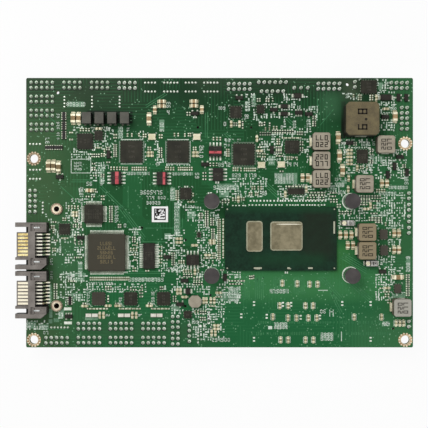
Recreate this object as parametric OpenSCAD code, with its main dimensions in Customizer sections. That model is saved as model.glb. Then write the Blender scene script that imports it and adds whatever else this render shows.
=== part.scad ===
// Embedded motherboard: a 3.5 inch single board computer, seen from its processor side.
// Layout sizes are millimetres from the middle of the board, x along its length and y across it.
// The part's own origin is the axis of the front left mounting hole, at the board's underside.

/* [Board] */
// Length of the laminate
board_l = 146; // [146:0.5:150]
// Width of the laminate
board_w = 101.7; // [101.7:0.5:105]
// Thickness of the laminate
board_t = 1.6; // [1.2:0.1:2.4]
// Radius of the laminate's corners
corner_r = 0.6; // [0.2:0.1:2]
// Diameter of the two tooling holes
tooling_d = 1.2; // [0.8:0.1:2]
// Diameter of the holes that take the pegs of connectors
peg_hole_d = 0.95; // [0.7:0.05:1.1]

/* [Mounting holes] */
// Diameter of the four mounting holes
mount_d = 3.2; // [3:0.1:3.8]
// Distance of each hole's axis from the ends of the board
mount_inset_x = 2.9; // [2.8:0.1:3.4]
// Distance of the front holes' axes from the front edge
mount_inset_y = 2.85; // [2.75:0.05:3.2]
// Distance from the front left hole to the rear left hole
mount_rise_left = 68.4; // [67:0.2:69.4]
// Distance from the front right hole to the rear right hole
mount_rise_right = 74.1; // [73:0.2:75]
// Width of the bare ring round each hole
mount_ring_w = 0.7; // [0.5:0.1:0.8]
// Number of solder petals round each hole
petal_count = 12; // [8:1:13]
// Diameter of one petal
petal_d = 0.85; // [0.6:0.05:0.95]
// Thickness of bare copper and its solder
copper_t = 0.06; // [0.04:0.01:0.1]

/* [Processor] */
// Length of the processor's substrate
cpu_l = 42; // [40:0.5:43]
// Width of the processor's substrate
cpu_w = 24; // [22:0.5:24.5]
// Thickness of the substrate
cpu_t = 0.65; // [0.5:0.05:1]
// Height of the solder balls under the substrate
ball_h = 0.3; // [0.2:0.05:0.5]
// Distance between neighbouring solder balls
ball_pitch = 0.65; // [0.65:0.05:1]
// Length of the larger die, along x
die_l = 12; // [10:0.2:13]
// Width of the larger die, along y
die_w = 10.8; // [9:0.2:12]
// Length of the smaller die, along x
side_die_l = 6; // [5:0.2:6.5]
// Width of the smaller die, along y
side_die_w = 11.4; // [9:0.2:12]
// Thickness of both dies
die_t = 0.4; // [0.3:0.05:0.8]
// Corner radius of both dies
die_r = 1.1; // [0.4:0.1:1.2]

/* [Cooler posts] */
// Distance between the posts along x
post_span_x = 52.3; // [52:0.1:53]
// Distance between the posts along y
post_span_y = 27.8; // [27.4:0.1:28.4]
// Diameter of a post and of its grey pick-up cap
post_d = 5.8; // [5:0.1:6]
// Height of a post's barrel
post_h = 5.6; // [4:0.2:7]
// Thickness of the cap above the barrel
post_cap_t = 0.4; // [0.3:0.1:1]
// Diameter of the post's threaded bore
post_bore_d = 2.5; // [2:0.1:3]
// Depth of that bore
post_bore_h = 2.4; // [2:0.2:3.6]

/* [Threaded inserts] */
// Diameter of an insert's head on this side
insert_head_d = 4.3; // [3.6:0.1:4.6]
// Height of that head
insert_head_h = 0.7; // [0.4:0.1:1.2]
// Diameter of the shank in the board
insert_shank_d = 3.4; // [3:0.1:3.6]
// Diameter of the threaded bore
insert_bore_d = 2.05; // [1.6:0.05:2.5]
// Length of the hexagon on the underside
insert_nut_h = 3; // [2:0.5:4.5]
// Width of that hexagon across its flats
insert_nut_af = 4.5; // [4.2:0.1:5]

/* [Drive connectors] */
// Distance between the two drive connectors
drive_pitch = 18.2; // [18.2:0.1:19]
// Height of a connector's housing above the board
drive_h = 5; // [4.6:0.1:6]
// Length of the housing behind its front face
drive_l = 6.8; // [6.6:0.1:8]
// Distance from the board's end to the housing's front face
drive_setback = 1.8; // [1.2:0.1:2.2]
// How far the tongue stands out of the housing's front
drive_tongue_l = 4.9; // [4:0.1:6]
// Width of the tongue
drive_tongue_w = 10.3; // [10:0.1:10.6]
// Thickness of the tongue
drive_tongue_t = 1.25; // [1:0.05:1.6]
// Height of the tongue's contact face above the board
drive_tongue_z = 3.2; // [2.8:0.1:3.4]
// Thickness of the guide arms
drive_arm_t = 1.65; // [1.2:0.05:2]
// Distance between neighbouring contacts
drive_contact_pitch = 1.27; // [1.2:0.01:1.3]
// Width of one contact
drive_contact_w = 0.8; // [0.5:0.05:0.95]
// Width of a contact's foot behind the housing
drive_foot_w = 0.5; // [0.4:0.05:0.8]
// Thickness of one contact
drive_contact_t = 0.2; // [0.15:0.05:0.3]

/* [Chip packages] */
// Side of the large quad flat package
quad_large = 14; // [13.4:0.2:14.4]
// Side of the small quad flat package
quad_small = 7; // [6.6:0.2:7.4]
// Height of the quad flat packages above the board
quad_h = 1.5; // [1.2:0.1:1.8]
// Lead pitch of the large quad flat package
quad_large_pitch = 0.4; // [0.38:0.01:0.42]
// Lead pitch of the small quad flat package
quad_small_pitch = 0.5; // [0.48:0.01:0.54]
// Leads on each side of the large quad flat package
quad_large_leads = 32; // [24:1:32]
// Leads on each side of the small quad flat package
quad_small_leads = 12; // [8:1:12]
// Body width of the small outline packages
outline_w = 3.9; // [3.6:0.1:4.2]
// Body length of the small outline packages
outline_l = 4.9; // [4.8:0.1:5.2]
// Body width of the long outline package
outline_long_w = 4.4; // [4:0.1:4.6]
// Body length of the long outline package
outline_long_l = 9.7; // [9.4:0.1:10]
// Height of the outline packages above the board
outline_h = 1.6; // [1.2:0.1:1.8]
// Height of the leadless packages above the board
leadless_h = 0.9; // [0.6:0.1:1.2]
// Thickness of the leadless packages' terminals
leadless_pad_t = 0.1; // [0.05:0.05:0.2]
// Distance between the leadless packages' terminals
leadless_pitch = 1; // [0.8:0.05:1.2]

/* [Inductors] */
// Side of the largest inductor
coil_large = 12.4; // [11.6:0.2:12.6]
// Height of the largest inductor
coil_large_h = 6.2; // [5:0.2:7]
// Side of the square inductors
coil_medium = 6.5; // [6.2:0.1:6.6]
// Height of the square inductors
coil_medium_h = 4.5; // [3:0.1:5]
// Across the flats of the small eight-sided inductor
coil_small = 4.5; // [4:0.1:4.8]
// Height of the small eight-sided inductor
coil_small_h = 2; // [1.5:0.1:3]
// Thickness of the inductors' terminals
coil_term_t = 0.2; // [0.15:0.05:0.3]
// Width of the black line chokes, along x
choke_w = 3.3; // [3:0.1:3.6]
// Length of the black line chokes, along y
choke_l = 4.2; // [3.8:0.1:4.6]
// Height of the black line chokes
choke_h = 4; // [2:0.1:4.6]

/* [Chip parts] */
// Length, width and height of the smallest chip parts
chip_xs = [1, 0.5, 0.4];
// Length, width and height of the small chip parts
chip_s = [1.6, 0.8, 0.7];
// Length, width and height of the middle chip parts
chip_m = [2, 1.25, 1];
// Length, width and height of the large chip parts
chip_l = [3.2, 1.6, 1.3];
// Share of a chip's length that each metal end covers
chip_end = 0.25; // [0.15:0.01:0.3]
// How far a chip's metal ends stand proud of its body
chip_skin = 0.02; // [0.01:0.01:0.04]

/* [Pin headers] */
// Distance between neighbouring pins of the main headers
header_pitch = 2; // [1.96:0.01:2.04]
// Side of a header's square pin
header_pin = 0.5; // [0.4:0.05:0.6]
// Height of a header's plastic base under the board
header_base_h = 2; // [1.5:0.1:2.5]
// Length of a pin below its plastic base
header_pin_l = 4; // [3:0.2:6]
// Length of a pin's tail above the board
header_tail = 1.5; // [1:0.1:2]
// Diameter of a plated hole for a header pin
header_hole_d = 0.9; // [0.85:0.05:1]
// Diameter of the solder at a header pin
header_solder_d = 1.3; // [1.1:0.05:1.4]

/* [Wafer connectors] */
// Distance between neighbouring pins of the wafer connectors
wafer_pitch = 1.25; // [1.23:0.01:1.27]
// Depth of a wafer housing
wafer_depth = 3.2; // [3:0.1:3.3]
// Height of a wafer housing under the board
wafer_h = 4.2; // [3.6:0.1:4.6]
// Wall of a wafer housing
wafer_wall = 0.5; // [0.4:0.05:0.7]
// Side of a wafer connector's square pin
wafer_pin = 0.35; // [0.3:0.05:0.4]
// Diameter of a plated hole for a wafer pin
wafer_hole_d = 0.6; // [0.6:0.05:0.7]
// Diameter of the solder at a wafer pin
wafer_solder_d = 0.85; // [0.75:0.05:0.95]

/* [Memory socket] */
// Length of the socket between the outer faces of its arms
memory_l = 71.6; // [71.2:0.2:73]
// Depth of the socket's bar, across the board
memory_bar_w = 7; // [6:0.5:7.5]
// Height of the socket under the board
memory_h = 5.2; // [4.6:0.1:5.6]
// Width of each arm
memory_arm_w = 2.4; // [2:0.1:2.6]
// Length of each arm in front of the bar
memory_arm_l = 24; // [20:0.5:26]
// Height of the slot that takes the module's edge
memory_slot_h = 1.2; // [1:0.1:1.5]
// Depth of that slot
memory_slot_d = 3.6; // [3:0.2:4]
// Distance between neighbouring contacts
memory_pitch = 0.6; // [0.6:0.05:1]
// Number of contacts in each row
memory_contacts = 100; // [60:2:104]

/* [Fits] */
// Gap between a press-fitted or moulded-in piece and its seat
seat_gap = 0.02; // [0.01:0.01:0.05]
// Gap round a connector peg in its hole
peg_gap = 0.05; // [0.02:0.01:0.1]

/* [Hidden] */
$fn = 48;

left = -board_l / 2;
right = board_l / 2;
front = -board_w / 2;
rear = board_w / 2;
mount_holes = [
    [left + mount_inset_x, front + mount_inset_y],
    [right - mount_inset_x, front + mount_inset_y],
    [left + mount_inset_x, front + mount_inset_y + mount_rise_left],
    [right - mount_inset_x, front + mount_inset_y + mount_rise_right]
];
datum = mount_holes[0];
mount_ring_d = mount_d + 2 * mount_ring_w;

// Middle of the processor and of the posts round it
cpu_at = [23.05, -9.8];
post_at = [23.2, -9.6];
die_large_at = [2.1, 1.0];
die_small_at = [-9.9, 0.9];
cpu_z = board_t + ball_h;
balls_along = floor((cpu_l - 1.2) / ball_pitch);
balls_across = floor((cpu_w - 1.2) / ball_pitch);

tooling_holes = [[-61.1, rear - 5.5], [48.3, rear - 2.4]];
spare_peg_holes = [
    [-29.3, -5.7], [-12.9, -10.3], [-12.8, 1.1], [-8.2, 32.2], [11.9, 32.1], [-12.9, -35.3]
];
insert_places = [[-61.4, 1.4], [-61.4, -35.1]];

// Blocks of header pins: middle x, middle y, pins along x, pins along y
header_blocks = [
    [left + 5.9, rear - 2.75, 5, 2], [left + 5.9, rear - 8.05, 5, 2],
    [left + 5.9, rear - 13.3, 5, 2], [left + 5.9, rear - 18.55, 5, 2],
    [-55.7, rear - 2.75, 4, 2], [-45.3, rear - 2.75, 4, 2], [-34.9, rear - 2.85, 4, 2],
    [7.4, rear - 3.25, 5, 2], [41.2, rear - 3.15, 5, 2], [51, rear - 2.5, 1, 2],
    [right - 5.3, rear - 2.85, 4, 2], [right - 3.3, rear - 15.25, 2, 5],
    [right - 1.6, 6.35, 1, 2], [right - 1.6, 2.05, 1, 2],
    [right - 1.6, -2.35, 1, 2], [right - 1.6, -6.65, 1, 2], [right - 1.6, -42, 1, 2],
    [left + 2.4, 4.35, 2, 5], [left + 11.5, front + 2.7, 5, 2],
    [-49.3, front + 8.05, 5, 2], [-49.3, front + 2.75, 5, 2],
    [-37.2, front + 8.05, 5, 2], [-37.2, front + 2.75, 5, 2],
    [-24.9, front + 8.05, 5, 2], [-24.9, front + 2.75, 5, 2],
    [-16.7, -41.2, 2, 3], [-16.7, -47.5, 2, 3], [-11.4, -45.5, 1, 4]
];
// Staggered block at the rear edge, and a three pin block with a wider pitch beside it
stagger_at = [19.9, rear - 3.35];
stagger_rows = [[6, 1.7], [5, -1.7]];
stagger_pitch = 2.05;
power_at = [30.7, rear - 3.75];
power_pitch = 2.54;

// Wafer connectors: middle x, middle y, pins, turn
wafer_places = [
    [-58.5, 41.85, 4, 90], [-48.1, 41.85, 4, 90], [-37.7, 41.85, 4, 90],
    [-66.7, 1.9, 4, 90], [-8.1, -47.1, 4, 90],
    [left + 3.4, mount_holes[2][1] + 5.5, 4, 0], [left + 3.4, mount_holes[2][1] - 4.25, 4, 0],
    [left + 3.4, mount_holes[2][1] - 7.65, 4, 0],
    [-26.2, rear - 1.8, 4, 0], [-18.4, rear - 1.8, 5, 0],
    [-10.9, rear - 1.8, 4, 0], [-3.3, rear - 1.8, 5, 0],
    [-26.2, rear - 5.15, 4, 0], [-18.4, rear - 5.15, 5, 0],
    [-10.9, rear - 5.15, 4, 0], [-3.3, rear - 5.15, 5, 0],
    [-60.35, -43.3, 6, 0]
];

// Middle of the memory socket's bar, and its pegs measured from there
memory_at = [31, -42.3];
// How far each peg lies inboard of the middle of its arm
memory_peg_inset = 0.1;
memory_peg_span = memory_l - memory_arm_w - 2 * memory_peg_inset;
memory_peg_rise = 12.6;
memory_peg_y = -1.45;
memory_key = 3;

// First drive connector's middle contact; the second lies one pitch nearer the front
drive_y = -11.95;
drive_places = [drive_y, drive_y - drive_pitch];
drive_rear = 8.3;
drive_front = -9.15;

// Small outline packages: x, y, turn
outline_places = [
    [-38.9, 13.1, 0], [-21.7, 12.9, 0], [-1.6, 23.1, 90], [-0.6, 14.4, 0], [-10.1, -17.8, 90]
];
outline_long_at = [-26.6, -16.3];
quad_large_at = [-42.5, -15];
quad_small_at = [-47.4, -0.5];

// Leadless packages: x, y, length along x, length along y
leadless_places = [
    [-33.2, 23, 8.2, 8.2], [-15.7, 23, 8.2, 8.2], [9.1, 22, 8, 8], [-50.7, 26.9, 5.8, 5.8],
    [-45.6, 29.1, 3, 3.4], [6.1, 37.9, 4.2, 4.2], [15.4, 39, 2.8, 3], [27.3, 24.8, 5.2, 4.8],
    [53.8, 21.2, 4, 5], [56.2, 47.4, 5.8, 4.9], [-58.4, -6.2, 4, 4],
    [-45.6, -32.4, 4.8, 4.8], [-33.5, -32.4, 4.8, 4.8], [-21.1, -32.4, 4.8, 4.8],
    [-12, -38.4, 2.8, 2.6], [61.8, -8.2, 2.8, 3.6], [62, -14.2, 2.8, 3.6],
    [67.1, -28.6, 2.4, 3.2], [28.8, 8.1, 6.2, 2.2], [-12.8, 7.2, 4.2, 4.2],
    [-7.8, -8.3, 1.2, 1.8]
];

// Square inductors: x, y, turn that puts their terminals along x or y
coil_places = [
    [38, 26.6, 0], [38, 19.5, 0], [38, 12.6, 0], [62.1, 25.5, 90], [54.1, 10.75, 0],
    [55.1, -7.3, 0], [55.1, -14.2, 0], [68.2, -35.5, 90]
];
coil_large_at = [53.0, 34.9];
coil_small_at = [-9.2, -33.4];
choke_row = [-49.7, 35.4, 4, 4.73];

// Crystals: x, y
crystal_places = [[-25.5, 28.6], [-8.6, 28.6], [15.8, 18], [23.3, 18.2]];

// Rows of chips: first x, first y, how many, step in x, step in y, turn
large_capacitor_rows = [
    [-55.2, 35.6, 2, 2.1, 0, 90], [-26.6, 35.4, 1, 0, 0, 90], [66.1, 36.2, 1, 0, 0, 90],
    [-64.5, 17.6, 1, 0, 0, 90], [-62.6, 17.6, 1, 0, 0, 90], [-60.7, 17.2, 1, 0, 0, 90],
    [44.7, 28.3, 1, 0, 0, 90], [45.2, 21.4, 1, 0, 0, 90], [46.3, 16, 1, 0, 0, 90],
    [67.2, -24.3, 1, 0, 0, 0]
];
middle_capacitor_rows = [
    [-24.4, 38.8, 1, 0, 0, 90], [-21.8, 41.9, 2, 0, -1.7, 0], [-9.7, 42, 2, 0, -1.7, 0],
    [-6.7, 38.9, 1, 0, 0, 90], [31.3, 13.2, 2, 2, 0, 90], [61.2, 11.1, 2, 1.9, 0, 90],
    [45.5, -8.4, 3, 2.1, 0, 90], [48.3, -12.3, 2, 2, 0, 90],
    [65.8, -7.7, 2, 1.8, 0, 90], [65.8, -14, 2, 1.8, 0, 90],
    [-49.1, 8.4, 1, 0, 0, 0]
];
small_capacitor_rows = [
    [49, 23.6, 5, 0, -1.3, 0], [66.6, -41.7, 3, 1.4, 0, 90],
    [-6, -33.2, 2, 1.05, 0, 90], [-3.3, -33.2, 2, 1.3, 0, 90], [-15.9, -29.7, 2, 1.2, 0, 90],
    [-15.3, -9.8, 2, 0, -1.4, 0], [-3, -45.4, 2, 1.4, 0, 90],
    [22.7, -35.1, 2, 3.2, 0, 90], [32.4, -35.1, 2, 2.9, 0, 90],
    [25.8, -39.7, 2, 3.2, 0, 90], [33.5, -39.7, 2, 3.2, 0, 90],
    [23, -48, 2, 2.9, 0, 90], [32.4, -48, 2, 3, 0, 90],
    [23.7, -26.6, 1, 0, 0, 90], [29.3, -26.8, 1, 0, 0, 90], [34, -27, 2, 3, 0, 90],
    [20.1, -39.3, 1, 0, 0, 90], [50.8, -39.4, 1, 0, 0, 90], [61.1, -39.4, 1, 0, 0, 90],
    [-45.7, 31.7, 1, 0, 0, 0], [-26.2, 22.7, 2, 0, -1.2, 0], [-9.1, 22.7, 2, 0, -1.25, 0],
    [-54.5, 0.1, 2, 0, -1.2, 0], [-42.1, -35.1, 1, 0, 0, 0], [-38.4, -35.1, 1, 0, 0, 0],
    [-26.5, -35.1, 1, 0, 0, 0], [-50.9, -35.2, 1, 0, 0, 0], [-45.2, -38.7, 2, 1.45, 0, 90],
    [-32.9, -38.7, 2, 1.45, 0, 90], [4.4, 33.5, 2, 3.1, 0, 90], [-2.8, -10.5, 2, 0, -1, 0],
    [-4.5, -16, 1, 0, 0, 0], [7.1, 5.1, 1, 0, 0, 90], [15.1, 23.3, 1, 0, 0, 0],
    [24.8, 7, 1, 0, 0, 90], [32.7, 8.9, 1, 0, 0, 90], [14.1, 28, 1, 0, 0, 90],
    [59.1, 43.3, 1, 0, 0, 90], [62.8, 39.15, 1, 0, 0, 0], [51.9, 16.9, 1, 0, 0, 90],
    [48.7, 13, 1, 0, 0, 90], [48.5, 8.85, 1, 0, 0, 90], [56.9, 2.6, 1, 0, 0, 90],
    [55.4, 1.4, 1, 0, 0, 0], [63.2, -28.4, 1, 0, 0, 0], [-13.2, -31.8, 1, 0, 0, 0],
    [-9.4, -12.3, 1, 0, 0, 0], [-9.3, -22.3, 1, 0, 0, 90], [-0.3, -30.2, 1, 0, 0, 0],
    [-1.2, -42.5, 2, 0, -1.3, 0]
];
// Tiny brown capacitors, from the left of the board to its right
tiny_capacitor_rows = [
    [-56, 27.6, 1, 0, 0, 0], [-56, 30.2, 1, 0, 0, 0], [-52.4, 31.3, 4, 1.05, 0, 90],
    [-39.4, 29.4, 2, 0, -1.1, 0], [-34.7, 29.3, 2, 1.6, 0, 90], [-30.4, 29.4, 1, 0, 0, 90],
    [-28.7, 29.1, 2, 0.85, 0, 90], [-22.2, 29.3, 2, 0, -1, 0], [-26.5, 24.6, 2, 0, -0.8, 0],
    [-40.9, 16.7, 5, 1.1, 0, 90], [-35.7, 16.6, 2, 0.8, 0, 90], [-32.9, 16.6, 5, 0.8, 0, 90],
    [-28.75, 16.6, 2, 0.95, 0, 90], [-20.2, 16.7, 2, 0.8, 0, 90], [-18.4, 16.6, 2, 1, 0, 90],
    [-15.45, 16.6, 5, 0.8, 0, 90], [-11.35, 16.6, 2, 0.85, 0, 90], [-44.5, 21.8, 2, 1, 0, 90],
    [-43.4, 23.6, 1, 0, 0, 90], [-46.3, 24.5, 2, 1.3, 0, 0], [-46.8, 8.3, 1, 0, 0, 90],
    [-44.1, 6.2, 2, 0, -1.1, 0], [-56.9, 2.1, 2, 1.2, 0, 90], [-54.6, 2, 2, 1.2, 0, 90],
    [-59, -2.5, 2, 0.9, 0, 90], [-63.3, -5.4, 2, 0.9, 0, 90], [-62.6, -7.1, 1, 0, 0, 90],
    [-62.4, -13.5, 2, 0, -0.85, 0], [-59, -9.6, 2, 1.2, 0, 0], [-33.5, -13.9, 3, 1.1, 0, 90],
    [-31.1, -12, 1, 0, 0, 90], [-32.3, -12.2, 1, 0, 0, 0], [-32.1, -15.8, 1, 0, 0, 0],
    [-31.9, -17.8, 1, 0, 0, 0], [-32.2, -20.9, 2, 0, -1, 0], [-27.3, -21.9, 1, 0, 0, 0],
    [-22.3, -12.8, 2, 0, -1.5, 0], [-22.3, -16.4, 3, 0, -1.2, 0], [-48.7, -24.9, 21, 0.72, 0, 90],
    [-49.4, -36.2, 6, 1.3, 0, 0], [-37.2, -36.2, 6, 1.35, 0, 0], [-25.1, -36.2, 5, 1.4, 0, 0],
    [-2.3, 27.9, 3, 1.3, 0, 90], [-17, 29.4, 2, 1.4, 0, 90], [-13.1, 29.3, 1, 0, 0, 90],
    [-11.7, 29.4, 2, 0.75, 0, 90], [-9.4, 24.6, 2, 0, -0.8, 0], [3.1, 23.8, 4, 0, -0.8, 0],
    [5.2, 16.4, 3, 0.8, 0, 90], [8.1, 16.3, 1, 0, 0, 90], [9.4, 16.3, 6, 0.8, 0, 90],
    [-15.95, 8.2, 5, 0, -0.8, 0], [-10, 6.8, 1, 0, 0, 90], [-11.4, 4.1, 2, 1.3, 0, 0],
    [-0.25, -2.6, 19, 0, -0.82, 0], [1.35, -3, 11, 0, -1.35, 90], [5, 5.1, 2, 1.05, 0, 90],
    [8.3, 5.2, 2, 0.85, 0, 90], [11.3, 7.1, 2, 0.8, 0, 90], [13.6, 7.1, 2, 0.8, 0, 90],
    [12.3, 9.4, 2, 0.9, 0, 90], [14.6, 9.4, 2, 1.1, 0, 90], [14.8, 22.3, 2, 0, -1.1, 0],
    [16.7, 22.2, 2, 0, -1.1, 0], [15.1, 24.7, 1, 0, 0, 0], [25.5, 20.6, 3, 0.85, 0, 90],
    [29.2, 20.5, 1, 0, 0, 90], [24.2, 28.2, 5, 1.5, 0, 0], [22.2, 27.7, 3, 0, -0.85, 0],
    [17.3, 31.6, 2, 1.5, 0, 90], [20.4, 32, 2, 1.1, 0, 90], [50.5, 44.1, 1, 0, 0, 90],
    [52.9, 44.3, 3, 0, -0.8, 0], [57.3, 44.2, 3, 0, -0.8, 0], [53.2, 17.1, 2, 0.9, 0, 90],
    [55.6, 17.1, 1, 0, 0, 90], [59.3, 8.3, 4, 0.95, 0, 90], [62.6, -4.3, 1, 0, 0, 90],
    [64.3, -7.9, 1, 0, 0, 90], [64.3, -14, 1, 0, 0, 90], [61.1, -28.5, 1, 0, 0, 0],
    [62.4, -29.8, 2, 1.2, 0, 0], [62.6, -31.2, 2, 1.1, 0, 90], [64, -32.9, 2, 0, -1, 0],
    [-15.3, -18.6, 3, 0.9, 0, 90], [-8, -22, 1, 0, 0, 90], [-13.6, -22, 4, 0.95, 0, 90],
    [-0.9, -31.7, 2, 1.2, 0, 0], [-3.3, -35.2, 2, 1.2, 0, 0], [-9.3, -37.4, 2, 1.1, 0, 90],
    [-2.1, -15.3, 3, 0, -0.85, 0], [-5.4, -17.1, 2, 1.4, 0, 0]
];
// Tiny dark resistors, from the left of the board to its right
tiny_resistor_rows = [
    [-22.3, 24.3, 3, 0, -0.8, 0], [-22.3, 21.8, 2, 0, -0.75, 0], [-48.1, 21.6, 4, 0.85, 0, 90],
    [-42.1, 24.6, 2, 0, -0.75, 0], [-39.4, 25.6, 7, 0, -0.72, 0], [-47.5, 18.5, 1, 0, 0, 0],
    [-47.5, 17, 2, 0, -0.8, 0], [-47, 14, 1, 0, 0, 0], [-42, 19, 1, 0, 0, 0],
    [-44.2, 14.4, 2, 0, -0.75, 0], [-49.8, 6.1, 2, 2, 0, 0], [-54, -2.6, 2, 0, -0.8, 0],
    [-54.7, -4.5, 2, 0, -0.8, 0], [-52.7, -4.5, 2, 0, -0.9, 0], [-62.3, -3.5, 1, 0, 0, 0],
    [-61.8, -10.5, 1, 0, 0, 0], [-54.6, -9, 2, 0, -2, 90], [-53.1, -11.4, 2, 1.1, 0, 90],
    [-54.3, -16.9, 2, 1.7, 0, 0], [-56.5, -25.8, 2, 1.3, 0, 0], [-61.9, -27, 3, 0, -0.75, 0],
    [-61.9, -29.7, 4, 0, -0.85, 0], [-41, 2.3, 8, 0, -0.8, 0], [-38.1, -5, 2, 0.75, 0, 90],
    [-32.35, -9.3, 3, 0, -0.8, 0], [-42.9, -28.4, 3, 0.95, 0, 90], [-33.5, -28.7, 1, 0, 0, 90],
    [-32, -29.1, 1, 0, 0, 0], [-29.2, -27.9, 1, 0, 0, 90], [-29.6, -29.2, 1, 0, 0, 0],
    [-29.6, -30.4, 2, 0, -1.2, 0], [-22.3, -28.5, 2, 0.8, 0, 90], [-38.7, -34.2, 1, 0, 0, 0],
    [-26.4, -34.2, 1, 0, 0, 0], [-51, -34.2, 1, 0, 0, 0], [-42, -31.9, 2, 0, -1.2, 90],
    [-12.2, 37.3, 2, 0.95, 0, 90], [5.5, 33.4, 2, 0.85, 0, 90], [8.7, 33.9, 1, 0, 0, 90],
    [8.7, 32.4, 1, 0, 0, 90], [-3.5, 18.2, 3, 1.2, 0, 90], [-5.7, 15, 3, 0, -1.2, 0],
    [-4.85, 0.5, 8, 0, -0.8, 0], [-7.05, -0.3, 3, 0, -0.8, 0], [-2.8, -2.2, 4, 0, -0.78, 0],
    [-2.5, -6.3, 2, 0, -0.8, 0], [-2.5, -8, 3, 0, -0.8, 0], [-2.6, -18.6, 1, 0, 0, 90],
    [1.1, 4.3, 3, 1.15, 0, 90], [21.5, 24.4, 3, 0.85, 0, 90], [21.5, 22.9, 3, 0.85, 0, 90],
    [22, 21.4, 2, 1.2, 0, 0], [30.9, 26.7, 2, 0, -1, 0], [30.9, 24.4, 2, 0, -0.9, 0],
    [28.2, 20.8, 1, 0, 0, 0], [23.4, 15.6, 1, 0, 0, 0], [25.6, 9.9, 5, 1.35, 0, 0],
    [33.9, 7.6, 5, 1.35, 0, 0], [34.6, 6.6, 5, 1.15, 0, 0], [33.2, 5.3, 6, 1.2, 0, 90],
    [14.3, 42.5, 2, 0.85, 0, 90], [17.6, 42.5, 2, 0.9, 0, 90], [20, 42.6, 1, 0, 0, 90],
    [35.7, 36.3, 2, 0, -0.8, 0], [35.7, 34.4, 3, 0, -0.78, 0], [15.1, 33.4, 2, 0.85, 0, 90],
    [16.95, 33.6, 1, 0, 0, 90], [18.9, 33.3, 1, 0, 0, 90], [20, 30.6, 9, 0.95, 0, 90],
    [15.4, 29.8, 5, 0.9, 0, 90], [29.4, 30, 3, 0.85, 0, 90], [51.1, 26.4, 2, 0, -0.85, 0],
    [57.3, 23.9, 2, 0, -0.8, 0], [57.2, 22, 1, 0, 0, 0], [57.3, 19.6, 2, 0, -0.8, 0],
    [42.3, 7.5, 2, 1.2, 0, 0], [42, 6.2, 2, 1.2, 0, 0], [42, 4.5, 3, 1.1, 0, 90],
    [44.5, 2.6, 2, 1, 0, 90], [45.3, 0, 5, 1.05, 0, 90], [53.5, 5.9, 4, 1, 0, 90],
    [53.5, 4.4, 4, 1, 0, 90], [57.6, 5.9, 4, 1, 0, 90], [57.5, 4.4, 3, 1.2, 0, 0],
    [53.7, 3.1, 2, 1.4, 0, 0], [58.6, 2.7, 2, 0, -0.9, 0], [57.6, -0.3, 2, 1.3, 0, 0],
    [57, -1.9, 4, 1.2, 0, 0], [57, -2.8, 4, 1.2, 0, 0], [59.4, -3.6, 2, 1.2, 0, 0],
    [69.6, 18, 2, 0, -0.8, 0], [71, -23.5, 10, 0, -0.85, 0], [-17, -31.6, 3, 0, -0.9, 0],
    [-7.1, -37.6, 3, 0.9, 0, 90], [-7.2, -40, 3, 0.85, 0, 90], [-17.5, -15.3, 6, 0, -0.85, 0],
    [-13.4, -23.7, 4, 0.95, 0, 90], [-9.6, -25, 3, 1, 0, 90], [-9.7, -26.7, 4, 1, 0, 90],
    [0.95, -21.6, 1, 0, 0, 0], [4.2, -25.7, 5, 1.15, 0, 0], [4.4, -26.9, 4, 1.15, 0, 0],
    [11.4, -24.4, 2, 0.75, 0, 90], [12.8, -24.2, 1, 0, 0, 90]
];
// White ceramic parts in front of the three driver chips
white_chip_rows = [
    [-49.4, -38.7, 2, 2.4, 0, 0], [-37.2, -38.7, 2, 2.4, 0, 0], [-24.9, -38.7, 2, 2.3, 0, 0]
];
// Arrays of four resistors: x, y, turn
array_places = [
    [-58.7, 36.4, 90], [-58.7, 32.8, 90], [-58.7, 29.3, 90], [-64.2, 24.6, 0],
    [-60.8, 24.6, 0], [-56.4, -33.2, 90]
];
// Diodes: x, y, turn, length, width
diode_places = [
    [29.4, 44.1, 0, 2.8, 1.9], [24.4, 40.1, 0, 2.6, 1.6], [24.4, 37.3, 0, 2.6, 1.6],
    [62.7, 43.4, 0, 4, 2.3], [-11.9, -29.6, 0, 1.6, 2.4]
];
// Transistors: x, y, turn, leads on the near side, leads on the far side
transistor_places = [
    [7.4, 43.3, 0, 2, 1], [29.8, 37.7, 0, 3, 3], [33.6, 37.2, 0, 2, 1], [62.4, 36.1, 0, 3, 3],
    [65.9, 17.5, 90, 1, 2], [63.4, 14.3, 90, 1, 2], [-60.2, 13.5, 0, 2, 1],
    [-5.5, 18.2, 0, 2, 1], [-9.3, 37.4, 0, 2, 1], [61.4, -22.2, 0, 2, 1],
    [-56.9, -39.1, 0, 3, 2], [67.4, 43.4, 90, 1, 2], [70.3, 43.3, 90, 1, 2],
    [-52.4, -9.4, 0, 2, 1], [-19.8, -16.7, 0, 2, 1], [20.4, 38.8, 0, 2, 1],
    [19.7, 23.7, 90, 1, 2], [49, 26.3, 0, 2, 1], [70.6, 15.2, 90, 1, 2], [68, 21, 0, 2, 1],
    [-14.9, -34.5, 0, 2, 1], [-13.2, -25.6, 0, 2, 1], [2.05, -24.4, 90, 1, 2],
    [-41.9, 21.9, 90, 1, 2]
];
// Moulded capacitors: x, y, turn
moulded_size = [4.6, 2.3, 1.9];
moulded_places = [[48.3, -3.9, 0], [57.2, -19.1, 0]];
label_at = [-22.5, -0.6];
label_size = [6.1, 5.9];
label_t = 0.08;

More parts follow.
